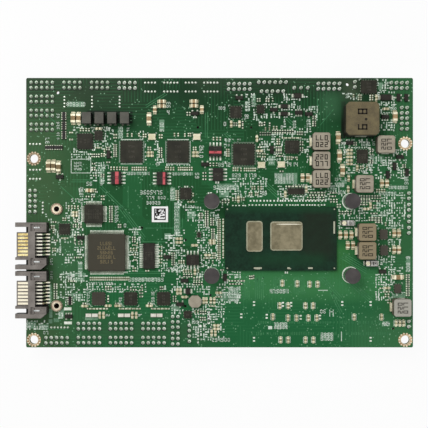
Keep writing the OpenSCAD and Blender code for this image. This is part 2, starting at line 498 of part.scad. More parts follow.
function row_places(rows) =
    [for (r = rows) for (i = [0:r[2] - 1]) [r[0] + i * r[3], r[1] + i * r[4], r[5]]];
function pins_of(block) =
    [for (i = [0:block[2] - 1]) for (j = [0:block[3] - 1])
        [block[0] + (i - (block[2] - 1) / 2) * header_pitch,
         block[1] + (j - (block[3] - 1) / 2) * header_pitch]];
function stagger_pins() =
    [for (r = stagger_rows) for (i = [0:r[0] - 1])
        [stagger_at[0] + (i - (r[0] - 1) / 2) * stagger_pitch, stagger_at[1] + r[1]]];
function power_pins() = [for (i = [-1:1]) [power_at[0] + i * power_pitch, power_at[1]]];
function turned(p, a) = [p[0] * cos(a) - p[1] * sin(a), p[0] * sin(a) + p[1] * cos(a)];
function wafer_pin_offsets(n) = [for (i = [0:n - 1]) [(i - (n - 1) / 2) * wafer_pitch, 0]];
all_header_pins = concat([for (b = header_blocks) for (p = pins_of(b)) p],
                         stagger_pins(), power_pins());
all_wafer_pins = [for (w = wafer_places) for (o = wafer_pin_offsets(w[2]))
    [w[0], w[1]] + turned(o, w[3])];
memory_pegs = [for (sx = [-1, 1]) for (dy = [0, memory_peg_rise])
    [memory_at[0] + sx * memory_peg_span / 2, memory_at[1] + memory_peg_y + dy]];

// Everything is laid out from the board's middle and moved once to the part's origin.
module layout() { translate([-datum[0], -datum[1], 0]) children(); }
module above(p, turn = 0) { translate([p[0], p[1], board_t]) rotate(turn) children(); }
module below(p, turn = 0) { translate([p[0], p[1], 0]) rotate(turn) mirror([0, 0, 1]) children(); }

module block(size, z = 0) { translate([-size[0] / 2, -size[1] / 2, z]) cube(size); }
module round_rect(l, w, r) {
    square([l - 2 * r, w], center = true);
    square([l, w - 2 * r], center = true);
    for (sx = [-1, 1], sy = [-1, 1]) translate([sx * (l / 2 - r), sy * (w / 2 - r)]) circle(r);
}
module cut_corner_rect(l, w, c) {
    polygon([[-l / 2 + c, -w / 2], [l / 2 - c, -w / 2], [l / 2, -w / 2 + c], [l / 2, w / 2 - c],
             [l / 2 - c, w / 2], [-l / 2 + c, w / 2], [-l / 2, w / 2 - c], [-l / 2, -w / 2 + c]]);
}
// A profile drawn in x and z, extruded along y
module along_y(w) { translate([0, w / 2, 0]) rotate([90, 0, 0]) linear_extrude(w) children(); }

module plated_hole_shapes() {
    for (p = all_header_pins) translate(p) circle(d = header_hole_d);
    for (p = all_wafer_pins) translate(p) circle(d = wafer_hole_d);
    for (p = memory_pegs) translate(p) circle(d = peg_hole_d);
    for (p = spare_peg_holes) translate(p) circle(d = peg_hole_d);
    for (p = tooling_holes) translate(p) circle(d = tooling_d);
    for (p = insert_places) translate(p) circle(d = insert_shank_d + 2 * seat_gap);
    for (p = mount_holes) translate(p) circle(d = mount_d);
}

module circuit_board() {
    color("#2c6b40") layout() linear_extrude(board_t) difference() {
        round_rect(board_l, board_w, corner_r);
        plated_hole_shapes();
    }
}

// Each ring keeps inside the board's edge, and its petals stand on it all round
module mounting_pads() {
    color("#b5906c") layout() for (m = mount_holes) {
        translate([m[0], m[1], board_t]) linear_extrude(copper_t) difference() {
            union() {
                circle(d = mount_ring_d);
                for (i = [0:petal_count - 1]) rotate((i + 0.5) * 360 / petal_count)
                    translate([mount_ring_d / 2, 0]) circle(d = petal_d);
            }
            circle(d = mount_d);
        }
    }
}

module cpu_substrate() {
    color("#22372c") layout() translate([cpu_at[0], cpu_at[1], cpu_z]) linear_extrude(cpu_t)
        cut_corner_rect(cpu_l, cpu_w, 0.4);
}
module die(at, l, w) {
    layout() translate([cpu_at[0] + at[0], cpu_at[1] + at[1], cpu_z + cpu_t])
        linear_extrude(die_t) round_rect(l, w, die_r);
}
module cpu_die_large() { color("#8a7f6d") die(die_large_at, die_l, die_w); }
module cpu_die_small() { color("#8a7f6d") die(die_small_at, side_die_l, side_die_w); }

// The outer ring of balls, which is the one that the gap under the substrate shows
module cpu_solder_balls() {
    color("#c9cdd0") layout() translate([cpu_at[0], cpu_at[1], board_t])
        for (i = [0:balls_along - 1], j = [0:balls_across - 1])
            if (i == 0 || j == 0 || i == balls_along - 1 || j == balls_across - 1)
                translate([(i - (balls_along - 1) / 2) * ball_pitch,
                           (j - (balls_across - 1) / 2) * ball_pitch, 0])
                    cylinder(d = ball_pitch * 0.65, h = ball_h);
}
// Capacitors along the substrate's front edge, and one at its right end
cpu_capacitor_places = [[-8.7, 3], [2.9, 1], [11.1, 1.7]];
cpu_capacitor_size = [0.6, 0.35];
cpu_capacitor_margin = 0.65;
cpu_side_capacitor_y = 4.2;
cpu_side_capacitor_l = 4.6;
module cpu_capacitors() {
    depth = cpu_capacitor_size[0];
    tall = cpu_capacitor_size[1];
    inset = cpu_capacitor_margin + depth / 2;
    color("#cfc4a8") layout() translate([cpu_at[0], cpu_at[1], cpu_z + cpu_t]) {
        for (p = cpu_capacitor_places)
            translate([p[0], inset - cpu_w / 2, 0]) block([p[1], depth, tall]);
        translate([cpu_l / 2 - inset, cpu_side_capacitor_y, 0])
            block([depth, cpu_side_capacitor_l, tall]);
    }
}

module post_places() {
    for (sx = [-1, 1], sy = [-1, 1])
        translate([post_at[0] + sx * post_span_x / 2, post_at[1] + sy * post_span_y / 2, board_t])
            children();
}
module cooler_posts() {
    color("#d5d7d6") layout() post_places() difference() {
        cylinder(d = post_d, h = post_h);
        translate([0, 0, post_h - post_bore_h]) cylinder(d = post_bore_d, h = post_bore_h + 1);
    }
}
// A cap's plug reaches down to the bottom of the bore
post_plug_h = post_bore_h;
module cooler_post_caps() {
    color("#625c5b") layout() post_places() translate([0, 0, post_h]) {
        cylinder(d = post_d, h = post_cap_t);
        translate([0, 0, -post_plug_h]) cylinder(d = post_bore_d - 2 * seat_gap, h = post_plug_h);
    }
}

module threaded_inserts() {
    color("#c8b183") layout() for (p = insert_places) translate([p[0], p[1], 0]) difference() {
        union() {
            translate([0, 0, board_t]) cylinder(d = insert_head_d, h = insert_head_h);
            translate([0, 0, -0.1]) cylinder(d = insert_shank_d, h = board_t + 0.2);
            translate([0, 0, -insert_nut_h])
                cylinder(d = insert_nut_af / cos(30), h = insert_nut_h, $fn = 6);
        }
        translate([0, 0, -insert_nut_h - 1])
            cylinder(d = insert_bore_d, h = insert_nut_h + board_t + insert_head_h + 2);
    }
}

// Drive connector, drawn with x inboard from the board's end and y from the middle contact
module drive_at() {
    for (y = drive_places) translate([left, y, board_t]) children();
}
module drive_slot(n, grow) {
    y = (n - 3) * drive_contact_pitch;
    blade_end = drive_setback + 2.8;
    translate([0, -y, 0]) {
        intersection() {
            along_y(drive_contact_w + 2 * grow) drive_contact_profile(grow);
            translate([blade_end - 10, -5, -5]) cube([10, 10, 20]);
        }
        along_y(drive_foot_w + 2 * grow) drive_contact_profile(grow);
    }
}
// Flat blade on the tongue, straight through the housing, then down to a foot on the board
module drive_contact_profile(grow) {
    t = drive_contact_t + grow;
    z = drive_tongue_z - drive_contact_t - grow;
    back = drive_setback + drive_l;
    polygon([
        [-2.4 - grow, z], [back - 2, z], [back - 0.7, -grow], [back + 0.5 + grow, -grow],
        [back + 0.5 + grow, t + grow], [back - 0.55, t + grow],
        [back - 1.85, z + t + grow], [-2.4 - grow, z + t + grow]
    ]);
}
// Solder tabs: where they stand across the connector, how far behind its face, their thickness
drive_tab_y = [6.4, -6.3];
drive_tab_back = 3.2;
drive_tab_half_l = 1.1;
drive_tab_t = 0.5;
module drive_connector_housings() {
    span = drive_rear - drive_front;
    mid = (drive_rear + drive_front) / 2;
    tip = drive_setback - drive_tongue_l;
    tongue_mid = -0.5;
    tab_slot = 2 * drive_tab_half_l + 0.4;
    color("#7f7874") layout() drive_at() difference() {
        union() {
            translate([0, mid, 0]) linear_extrude(drive_h) polygon([
                [drive_setback, -span / 2], [drive_setback + drive_l - 2, -span / 2],
                [drive_setback + drive_l, -span / 2 + 1.7], [drive_setback + drive_l, span / 2],
                [drive_setback, span / 2]
            ]);
            for (y = [drive_rear - drive_arm_t / 2, drive_front + drive_arm_t / 2])
                translate([0, y, 0.4]) along_y(drive_arm_t) polygon([
                    [tip, 0.5], [tip + 0.5, 0], [drive_setback + 1, 0],
                    [drive_setback + 1, drive_h - 0.4], [tip + 0.5, drive_h - 0.4],
                    [tip, drive_h - 0.9]
                ]);
            translate([0, tongue_mid, drive_tongue_z - drive_tongue_t])
                along_y(drive_tongue_w) polygon([
                    [tip + 0.2, 0.25], [tip + 0.5, 0], [drive_setback + 1, 0],
                    [drive_setback + 1, drive_tongue_t], [tip + 0.5, drive_tongue_t],
                    [tip + 0.2, drive_tongue_t - 0.25]
                ]);
            translate([tip, tongue_mid - drive_tongue_w / 2, drive_tongue_z - drive_tongue_t])
                cube([drive_tongue_l + 1, 1.0, 2.4]);
        }
        // Rear bay over the bent leads, open at the top and at the back
        translate([drive_setback + 2.6, -4.9, -1]) cube([drive_l, 9.6, drive_h + 2]);
        // Slots for the contacts along the tongue and through the front wall
        for (n = [0:6]) drive_slot(n, seat_gap);
        // Pockets of the two solder tabs
        for (y = drive_tab_y) translate([drive_setback, y, 0]) {
            translate([1.5, 0, drive_h - 0.6]) block([1.1, 2.7, 3]);
            translate([4.4, 0, drive_h - 0.35]) block([4.3, 2.3, 3]);
            translate([drive_tab_back, 0, -1])
                block([tab_slot, drive_tab_t + 2 * seat_gap, drive_h + 2]);
        }
    }
}
module drive_connector_contacts() {
    color("#efe0a0") layout() drive_at() for (n = [0:6]) drive_slot(n, 0);
}
module drive_connector_tabs() {
    color("#d9dcda") layout() drive_at() for (y = drive_tab_y)
        translate([drive_setback + drive_tab_back, y, 0])
            block([2 * drive_tab_half_l, drive_tab_t, drive_h - 0.2]);
}

// Moulded package: a narrow upright band at the leads, with drafted faces above and below it
module package(l, w, h, stand, band) {
    draft = 0.15;
    low = stand + (h - stand) * 0.42;
    intersection() {
        along_y(w) package_profile(l, h, stand, low, band, draft);
        rotate(90) along_y(l) package_profile(w, h, stand, low, band, draft);
    }
}
module package_profile(l, h, stand, low, band, draft) {
    polygon([
        [-l / 2 + draft, stand], [l / 2 - draft, stand], [l / 2, low], [l / 2, low + band],
        [l / 2 - draft, h], [-l / 2 + draft, h], [-l / 2, low + band], [-l / 2, low]
    ]);
}
// Gull wing lead: x runs outwards from the body's side at lead height
module gull_lead(reach, rise, foot, t, w) {
    along_y(w) polygon([
        [0, rise], [reach - foot, 0], [reach, 0], [reach, t], [reach - foot + t * 0.7, t],
        [0, rise + t]
    ]);
}
lead_t = 0.15;
lead_stand = 0.1;
function lead_rise(h) = lead_stand + (h - lead_stand) * 0.42;
module lead_row(count, pitch, offset, reach, rise, foot, w) {
    for (i = [0:count - 1]) translate([offset, (i - (count - 1) / 2) * pitch, 0])
        gull_lead(reach, rise, foot, lead_t, w);
}
module quad_body(at, side) {
    above(at) difference() {
        package(side, side, quad_h, lead_stand, lead_t);
        translate([-side / 2 + 1.3, side / 2 - 1.3, quad_h - 0.1]) cylinder(d = side * 0.08, h = 1);
    }
}
module quad_flat_bodies() {
    color("#3f3a34") layout() {
        quad_body(quad_large_at, quad_large);
        quad_body(quad_small_at, quad_small);
    }
}
module quad_flat_leads() {
    color("#c9cbc4") layout() {
        above(quad_large_at) for (a = [0:90:270]) rotate(a)
            lead_row(quad_large_leads, quad_large_pitch, quad_large / 2, 1, lead_rise(quad_h), 0.5, 0.18);
        above(quad_small_at) for (a = [0:90:270]) rotate(a)
            lead_row(quad_small_leads, quad_small_pitch, quad_small / 2, 1, lead_rise(quad_h), 0.5, 0.22);
    }
}
module outline_bodies() {
    color("#35312d") layout() {
        for (p = outline_places) above(p, p[2]) difference() {
            package(outline_w, outline_l, outline_h, lead_stand, lead_t);
            translate([-outline_w / 2 + 0.8, outline_l / 2 - 0.8, outline_h - 0.1])
                cylinder(d = 0.6, h = 1);
        }
        above(outline_long_at) difference() {
            package(outline_long_w, outline_long_l, outline_h - 0.4, lead_stand, lead_t);
            translate([-outline_long_w / 2 + 0.8, outline_long_l / 2 - 0.8, outline_h - 0.5])
                cylinder(d = 0.7, h = 1);
        }
    }
}
module outline_leads() {
    color("#c9cbc4") layout() {
        for (p = outline_places) above(p, p[2]) for (a = [0, 180]) rotate(a)
            lead_row(4, 1.27, outline_w / 2, 1.05, lead_rise(outline_h), 0.6, 0.42);
        above(outline_long_at) for (a = [0, 180]) rotate(a)
            lead_row(14, 0.65, outline_long_w / 2, 1, lead_rise(outline_h - 0.4), 0.55, 0.24);
    }
}
module leadless_bodies() {
    color("#38332e") layout() for (p = leadless_places) above(p) difference() {
        block([p[2], p[3], leadless_h - leadless_pad_t], leadless_pad_t);
        translate([-p[2] / 2 + 0.6, p[3] / 2 - 0.6, leadless_h - 0.05]) cylinder(d = 0.4, h = 1);
    }
}
leadless_pad_w = 0.4;
leadless_pad_l = 0.75;
leadless_pad_out = 0.3;
module leadless_terminals() {
    color("#ccd0c6") layout() for (p = leadless_places) above(p) for (side = [0, 1]) {
        run = side == 0 ? p[3] : p[2];
        reach = side == 0 ? p[2] : p[3];
        count = max(2, floor((run - 1) / leadless_pitch) + 1);
        for (end = [0, 180]) rotate(side * 90 + end) for (i = [0:count - 1])
            translate([reach / 2 + leadless_pad_out - leadless_pad_l,
                       (i - (count - 1) / 2) * leadless_pitch - leadless_pad_w / 2, 0])
                cube([leadless_pad_l, leadless_pad_w, leadless_pad_t]);
    }
}

// Pressed block with cut upright corners and a small bevel round its top
module pressed_block(side, h, corner, bevel) {
    intersection() {
        linear_extrude(h) cut_corner_rect(side, side, corner);
        along_y(side) bevel_profile(side, h, bevel);
        rotate(90) along_y(side) bevel_profile(side, h, bevel);
    }
}
module bevel_profile(side, h, bevel) {
    polygon([[-side / 2, 0], [side / 2, 0], [side / 2, h - bevel], [side / 2 - bevel, h],
             [-side / 2 + bevel, h], [-side / 2, h - bevel]]);
}
module large_inductor() {
    color("#6b6248") layout() above(coil_large_at) translate([0, 0, coil_term_t])
        pressed_block(coil_large, coil_large_h - coil_term_t, 1.2, 0.3);
}
module square_inductors() {
    color("#a89c8a") layout() for (p = coil_places) above(p, p[2])
        translate([0, 0, coil_term_t])
            pressed_block(coil_medium, coil_medium_h - coil_term_t, 0.6, 0.2);
}
module small_inductor() {
    color("#a08a80") layout() above(coil_small_at) translate([0, 0, coil_term_t])
        pressed_block(coil_small, coil_small_h - coil_term_t, 1.1, 0.15);
}
// Strip that starts under the body and turns up its end wall
module end_clip(side, w, up) {
    for (a = [0, 180]) rotate(a) translate([side / 2, 0, 0]) along_y(w) polygon([
        [-1.4, 0], [coil_term_t, 0], [coil_term_t, up], [0, up], [0, coil_term_t],
        [-1.4, coil_term_t]
    ]);
}
// Width of each inductor's terminals, and how far they turn up its end walls
clip_large = [4, 2.6];
clip_medium = [2.8, 2];
clip_small = [1.6, 1];
module inductor_terminals() {
    color("#d3d6d0") layout() {
        above(coil_large_at, 90) end_clip(coil_large, clip_large[0], clip_large[1]);
        for (p = coil_places) above(p, p[2]) end_clip(coil_medium, clip_medium[0], clip_medium[1]);
        above(coil_small_at) end_clip(coil_small, clip_small[0], clip_small[1]);
    }
}
function choke_x(i) = choke_row[0] + i * choke_row[3];
module line_chokes() {
    color("#4a4642") layout() for (i = [0:choke_row[2] - 1]) above([choke_x(i), choke_row[1]])
        translate([0, 0, coil_term_t]) block([choke_w, choke_l, choke_h - coil_term_t]);
}
module line_choke_ends() {
    color("#c9cbc4") layout() for (i = [0:choke_row[2] - 1]) above([choke_x(i), choke_row[1]])
        for (sx = [-1, 1], sy = [-1, 1])
            translate([sx * (choke_w / 2 - 0.7), sy * (choke_l / 2 - 0.2), 0])
                block([0.8, 1.2, coil_term_t]);
}

// Crystal can, and the pads under its corners that it stands on
crystal_size = [2.6, 2.2, 0.55];
crystal_pad = [0.9, 0.8, 0.08];
crystal_pad_out = 0.2;
module crystals() {
    color("#e3d9bd") layout() for (p = crystal_places) above(p)
        block(crystal_size, crystal_pad[2]);
}
module crystal_pads() {
    pad_x = (crystal_size[0] - crystal_pad[0]) / 2 + crystal_pad_out;
    pad_y = (crystal_size[1] - crystal_pad[1]) / 2 + crystal_pad_out / 2;
    color("#d9dcd2") layout() for (p = crystal_places) above(p) for (sx = [-1, 1], sy = [-1, 1])
        translate([sx * pad_x, sy * pad_y, 0]) block(crystal_pad);
}

// Chip part: ceramic body between two metal ends that stand slightly proud of it
module chip_body(s) {
    block([s[0] * (1 - 2 * chip_end), s[1], s[2]], chip_skin);
}
module chip_ends(s) {
    e = s[0] * chip_end;
    for (sx = [-1, 1]) translate([sx * (s[0] - e) / 2, 0, 0])
        block([e, s[1] + 2 * chip_skin, s[2] + 2 * chip_skin]);
}
module chips(rows) { layout() for (p = row_places(rows)) above(p, p[2]) children(); }
module large_capacitors() { color("#c9a47f") chips(large_capacitor_rows) chip_body(chip_l); }
module large_capacitor_ends() { color("#e6e0d0") chips(large_capacitor_rows) chip_ends(chip_l); }
module middle_capacitors() { color("#bd9a78") chips(middle_capacitor_rows) chip_body(chip_m); }
module middle_capacitor_ends() { color("#e6e0d0") chips(middle_capacitor_rows) chip_ends(chip_m); }
module small_capacitors() { color("#b49878") chips(small_capacitor_rows) chip_body(chip_s); }
module small_capacitor_ends() { color("#e6e0d0") chips(small_capacitor_rows) chip_ends(chip_s); }
// The tiny chips are one piece each: their metal skin is thinner than a hundredth of a millimetre
module tiny_capacitors() { color("#a88f72") chips(tiny_capacitor_rows) block(chip_xs); }
module tiny_resistors() { color("#2b2a28") chips(tiny_resistor_rows) block(chip_xs); }
white_chip_size = [2.1, 1.25, 0.6];
module white_chips() { color("#e9e6da") chips(white_chip_rows) block(white_chip_size); }

array_size = [3.2, 1.2, 0.5];
module resistor_arrays() {
    color("#2d2b28") layout() for (p = array_places) above(p, p[2])
        block([array_size[0], array_size[1], array_size[2]], chip_skin);
}
module resistor_array_ends() {
    color("#dcdccc") layout() for (p = array_places) above(p, p[2])
        for (sy = [-1, 1], i = [0:3])
            translate([(i - 1.5) * 0.8, sy * (array_size[1] / 2 + 0.15), 0])
                block([0.45, 0.3, array_size[2] + chip_skin]);
}
module diode_bodies() {
    color("#2f2c2a") layout() for (p = diode_places) above(p, p[2])
        package(p[3], p[4], 1.1, lead_stand, lead_t);
}
module diode_ends() {
    color("#dcdcd0") layout() for (p = diode_places) above(p, p[2]) for (a = [0, 180]) rotate(a)
        translate([p[3] / 2, 0, 0])
            gull_lead(0.7, lead_rise(1.1), 0.4, lead_t, p[4] * 0.62);
}
transistor_size = [1.4, 2.9, 1];
module transistor_bodies() {
    color("#2f2c2a") layout() for (p = transistor_places) above(p, p[2] + 90)
        package(transistor_size[0], transistor_size[1], transistor_size[2], lead_stand, lead_t);
}
module transistor_leads() {
    color("#d5d8d0") layout() for (p = transistor_places) above(p, p[2] + 90) for (k = [0, 1])
        rotate(k * 180) for (y = p[3 + k] == 1 ? [0] : p[3 + k] == 2 ? [-0.95, 0.95] : [-0.95, 0, 0.95])
            translate([transistor_size[0] / 2, y, 0])
                gull_lead(0.55, lead_rise(transistor_size[2]), 0.3, lead_t, 0.4);
}
module moulded_capacitors() {
    color("#3a3836") layout() for (p = moulded_places) above(p, p[2])
        package(moulded_size[0], moulded_size[1], moulded_size[2], lead_stand, lead_t);
}
module moulded_capacitor_ends() {
    color("#dcdcd0") layout() for (p = moulded_places) above(p, p[2]) for (a = [0, 180]) rotate(a)
        translate([moulded_size[0] / 2, 0, 0])
            gull_lead(0.5, lead_rise(moulded_size[2]), 0.3, lead_t, 1.4);
}
module paper_label() {
    color("#f2f2ee") layout() above(label_at) block([label_size[0], label_size[1], label_t]);
}

// Base of a header: a strip with its corners cut, and a round hole at each pin
header_corner = 0.3;
module header_base_shape(l, w) { cut_corner_rect(l, w, header_corner); }
module header_bases() {
    color("#2a2a2c") layout() translate([0, 0, -header_base_h]) linear_extrude(header_base_h)
        difference() {
            union() {
                for (b = header_blocks) translate([b[0], b[1]])
                    header_base_shape(b[2] * header_pitch - 0.04, b[3] * header_pitch - 0.04);
                translate(stagger_at) header_base_shape(stagger_pitch * 6, 5.4);
                translate(power_at) header_base_shape(power_pitch * 3, power_pitch);
            }
            for (p = all_header_pins) translate(p) circle(r = pin_corner(header_pin) + seat_gap);
        }
}
header_pin_total = header_base_h + header_pin_l + board_t + header_tail;
module header_pins() {
    color("#cdb56a") layout() for (p = all_header_pins) translate([p[0], p[1], 0])
        block([header_pin, header_pin, header_pin_total], -header_base_h - header_pin_l);
}
// Distance from a square pin's middle to its corner
function pin_corner(side) = side * sqrt(0.5);
module solder_cone(d, pin, h) {
    difference() {
        cylinder(d1 = d, d2 = pin * 1.7, h = h);
        translate([0, 0, -1]) cylinder(r = pin_corner(pin), h = h + 2);
    }
}
module header_solder() {
    color("#d8e0d4") layout() for (p = all_header_pins) above(p)
        solder_cone(header_solder_d, header_pin, 0.7);
}

// Wafer housing: an open box below the board, with a notch in its front wall
module wafer_housings() {
    color("#e8e2d2") layout() for (w = wafer_places) below(w, w[3]) {
        l = (w[2] - 1) * wafer_pitch + 3;
        difference() {
            block([l, wafer_depth, wafer_h]);
            block([l - 2 * wafer_wall, wafer_depth - 2 * wafer_wall, wafer_h], 1);
            translate([0, wafer_depth / 2, 0]) block([l - 2.4, 2 * wafer_wall + 0.2, wafer_h], 2);
            for (o = wafer_pin_offsets(w[2])) translate([o[0], o[1], 0])
                block([wafer_pin + 2 * seat_gap, wafer_pin + 2 * seat_gap, 3], -1);
        }
    }
}
wafer_tail = 0.6;
module wafer_pins() {
    color("#d5cfa8") layout() for (p = all_wafer_pins) translate([p[0], p[1], 0])
        block([wafer_pin, wafer_pin, wafer_h - 0.8 + board_t + wafer_tail], -wafer_h + 0.8);
}
module wafer_solder() {
    color("#d8e0d4") layout() for (p = all_wafer_pins) above(p)
        solder_cone(wafer_solder_d, wafer_pin, 0.45);
}

// Memory socket on the underside: a bar with the module's slot and two arms with pegs
module memory_frame() { below(memory_at) children(); }
module memory_socket() {
    arm_x = memory_l / 2 - memory_arm_w;
    color("#3a3a3c") layout() {
        memory_frame() difference() {
            union() {
                translate([-memory_l / 2, -memory_bar_w / 2, 0])
                    cube([memory_l, memory_bar_w, memory_h]);
                for (sx = [-1, 1]) translate([sx * (arm_x + memory_arm_w / 2), memory_bar_w / 2, 0])
                    translate([-memory_arm_w / 2, 0, 0])
                        cube([memory_arm_w, memory_arm_l, memory_h * 0.7]);
            }
            translate([-arm_x, memory_bar_w / 2 - memory_slot_d, memory_h * 0.45])
                cube([2 * arm_x, memory_slot_d + 1, memory_slot_h]);
        }
        for (p = memory_pegs) translate([p[0], p[1], -0.5])
            cylinder(d = peg_hole_d - 2 * peg_gap, h = 0.5 + board_t * 0.7);
    }
}
module memory_contact_row(y, turn) {
    for (i = [0:memory_contacts - 1]) {
        x = (i - (memory_contacts - 1) / 2) * memory_pitch;
        if (abs(x + memory_l * 0.16) > memory_key / 2) translate([x, y, 0]) rotate(turn)
            translate([-0.11, 0, 0]) cube([0.22, 1.1, 0.15]);
    }
}
module memory_contacts_near() {
    color("#d8d2b0") layout() memory_frame() memory_contact_row(-memory_bar_w / 2, 180);
}
module memory_contacts_far() {
    color("#d8d2b0") layout() memory_frame() memory_contact_row(memory_bar_w / 2, 0);
}
// Spring strip along each arm, with a hook that holds the module's edge
memory_latch_t = 0.4;
memory_latch_l = 12;
module memory_latches() {
    side = memory_l / 2 - memory_arm_w;
    color("#c9ccca") layout() memory_frame() for (k = [0, 1]) mirror([k, 0, 0])
        translate([side, memory_bar_w / 2 + memory_arm_l - memory_latch_l - 1, 0.3]) {
            translate([-memory_latch_t, 0, 0]) cube([memory_latch_t, memory_latch_l, memory_h * 0.6]);
            translate([-1.4, memory_latch_l - 3, memory_h * 0.6 - 0.5]) cube([1.2, 2.4, 0.5]);
        }
}

circuit_board();
mounting_pads();
cpu_substrate();
cpu_die_large();
cpu_die_small();
cpu_solder_balls();
cpu_capacitors();
cooler_posts();
cooler_post_caps();
threaded_inserts();
drive_connector_housings();
drive_connector_contacts();
drive_connector_tabs();
quad_flat_bodies();
quad_flat_leads();
outline_bodies();
outline_leads();
leadless_bodies();
leadless_terminals();
large_inductor();
square_inductors();
small_inductor();
inductor_terminals();
line_chokes();
line_choke_ends();
crystals();
crystal_pads();
diode_bodies();
diode_ends();
transistor_bodies();
transistor_leads();
resistor_arrays();
resistor_array_ends();
large_capacitors();
large_capacitor_ends();
middle_capacitors();
middle_capacitor_ends();
small_capacitors();
small_capacitor_ends();
tiny_capacitors();
tiny_resistors();
white_chips();
moulded_capacitors();
moulded_capacitor_ends();
paper_label();
header_bases();
header_pins();
header_solder();
wafer_housings();
wafer_pins();
wafer_solder();
memory_socket();
memory_contacts_near();
memory_contacts_far();
memory_latches();
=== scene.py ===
# %% [markdown]
# # Embedded motherboard, seen from its processor side
# The solids of this board come from its CAD model: laminate, packages, leads, connectors.
# This lesson dresses them: materials for each real finish, and the thin things that a CAD model
# leaves out, such as solder lands, printed marks and the metal ends of the smallest chips.

# %% Load the frame
import bpy, bmesh, math, random
from collections import namedtuple
from mathutils import Matrix, Vector


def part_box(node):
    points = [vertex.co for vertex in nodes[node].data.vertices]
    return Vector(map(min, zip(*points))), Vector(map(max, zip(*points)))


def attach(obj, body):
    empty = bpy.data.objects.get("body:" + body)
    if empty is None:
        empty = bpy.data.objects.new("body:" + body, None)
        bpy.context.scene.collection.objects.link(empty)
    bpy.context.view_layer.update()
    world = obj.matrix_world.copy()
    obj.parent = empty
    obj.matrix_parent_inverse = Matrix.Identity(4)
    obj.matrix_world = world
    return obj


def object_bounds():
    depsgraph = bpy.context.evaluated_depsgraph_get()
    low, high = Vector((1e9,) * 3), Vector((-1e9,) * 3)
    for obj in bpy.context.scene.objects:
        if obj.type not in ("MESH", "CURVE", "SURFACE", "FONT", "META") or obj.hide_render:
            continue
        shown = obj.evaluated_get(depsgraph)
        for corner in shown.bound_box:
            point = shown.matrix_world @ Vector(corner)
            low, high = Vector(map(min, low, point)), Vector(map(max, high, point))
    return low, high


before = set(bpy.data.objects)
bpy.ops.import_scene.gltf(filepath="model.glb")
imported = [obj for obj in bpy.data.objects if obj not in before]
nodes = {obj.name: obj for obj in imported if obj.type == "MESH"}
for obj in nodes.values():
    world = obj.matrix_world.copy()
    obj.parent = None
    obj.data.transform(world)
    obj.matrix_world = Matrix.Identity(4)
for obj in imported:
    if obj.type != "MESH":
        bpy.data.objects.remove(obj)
cad_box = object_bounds()
random.seed(7)
print(len(nodes), "CAD nodes, box", [round(v, 4) for corner in cad_box for v in corner])

# %% [markdown]
# ## Measuring in the board's own millimetres
# The layout was read from the middle of the board, x to the right and y to the rear edge, so the
# marks below use those millimetres too. One function turns them into the frame's metres. A second
# one finds the separate solids of a node: its mesh is loose triangles, so a copy is merged first.
# Each solid is kept as its box, which also knows its middle and its two sides.

# %% Places
MM = 0.001
BOARD_TOP = 1.6
# The frame's origin, the front left mounting hole, in layout millimetres.
DATUM = (-70.1, -48.0)


def at(x, y, z=0.0):
    return Vector(((x - DATUM[0]) * MM, (y - DATUM[1]) * MM, z * MM))


class Solid(namedtuple("Solid", "x0 y0 z0 x1 y1 z1")):
    """Box of one solid in layout millimetres."""
    x = property(lambda self: (self.x0 + self.x1) / 2)
    y = property(lambda self: (self.y0 + self.y1) / 2)
    length = property(lambda self: self.x1 - self.x0)
    width = property(lambda self: self.y1 - self.y0)
    top = property(lambda self: self.z1)


def solids_of(name):
    """The box of each separate solid of a CAD node."""
    bm = bmesh.new()
    bm.from_mesh(nodes[name].data)
    bmesh.ops.remove_doubles(bm, verts=bm.verts, dist=1e-7)
    seen, boxes = set(), []
    for start in bm.verts:
        if start.index in seen:
            continue
        seen.add(start.index)
        reach, group = [start], []
        while reach:
            v = reach.pop()
            group.append(v.co)
            for e in v.link_edges:
                w = e.other_vert(v)
                if w.index not in seen:
                    seen.add(w.index)
                    reach.append(w)
        lo = [min(c[i] for c in group) / MM for i in range(3)]
        hi = [max(c[i] for c in group) / MM for i in range(3)]
        boxes.append(Solid(lo[0] + DATUM[0], lo[1] + DATUM[1], lo[2],
                           hi[0] + DATUM[0], hi[1] + DATUM[1], hi[2]))
    bm.free()
    return boxes


tiny_chips = solids_of("tiny_capacitors") + solids_of("tiny_resistors")
print(len(tiny_chips), "tiny chips")

# %% [markdown]
# ## Nodes and colours
# Every material is a small node tree. One function adds a node, sets its values and links its
# sockets, and one turns a colour as a painter would write it into the linear numbers Blender
# wants. Objects are measured in metres, so a pattern's scale is 1000 over its grain in millimetres.

# %% Nodes and colours
def tone(text):
    parts = [int(text[i:i + 2], 16) / 255 for i in (1, 3, 5)]
    return [c / 12.92 if c <= 0.04045 else ((c + 0.055) / 1.055) ** 2.4 for c in parts] + [1.0]


def add(tree, kind, inputs=None, **settings):
    node = tree.nodes.new(kind)
    for key, value in settings.items():
        setattr(node, key, value)
    for key, value in (inputs or {}).items():
        if isinstance(value, bpy.types.NodeSocket):
            tree.links.new(value, node.inputs[key])
        else:
            node.inputs[key].default_value = value
    return node


def new_tree(name):
    material = bpy.data.materials.new(name)
    material.use_nodes = True
    material.node_tree.nodes.clear()
    return material, material.node_tree


# %% [markdown]
# ## Regions of another tone
# A real board isn't the same all over: solder dulls in one corner, and the mask darkens towards an
# edge. A region is a soft box with a colour of its own and a share of how much of it shows. The
# distance from the box's middle, taken along each axis, says where the colour begins to fade.

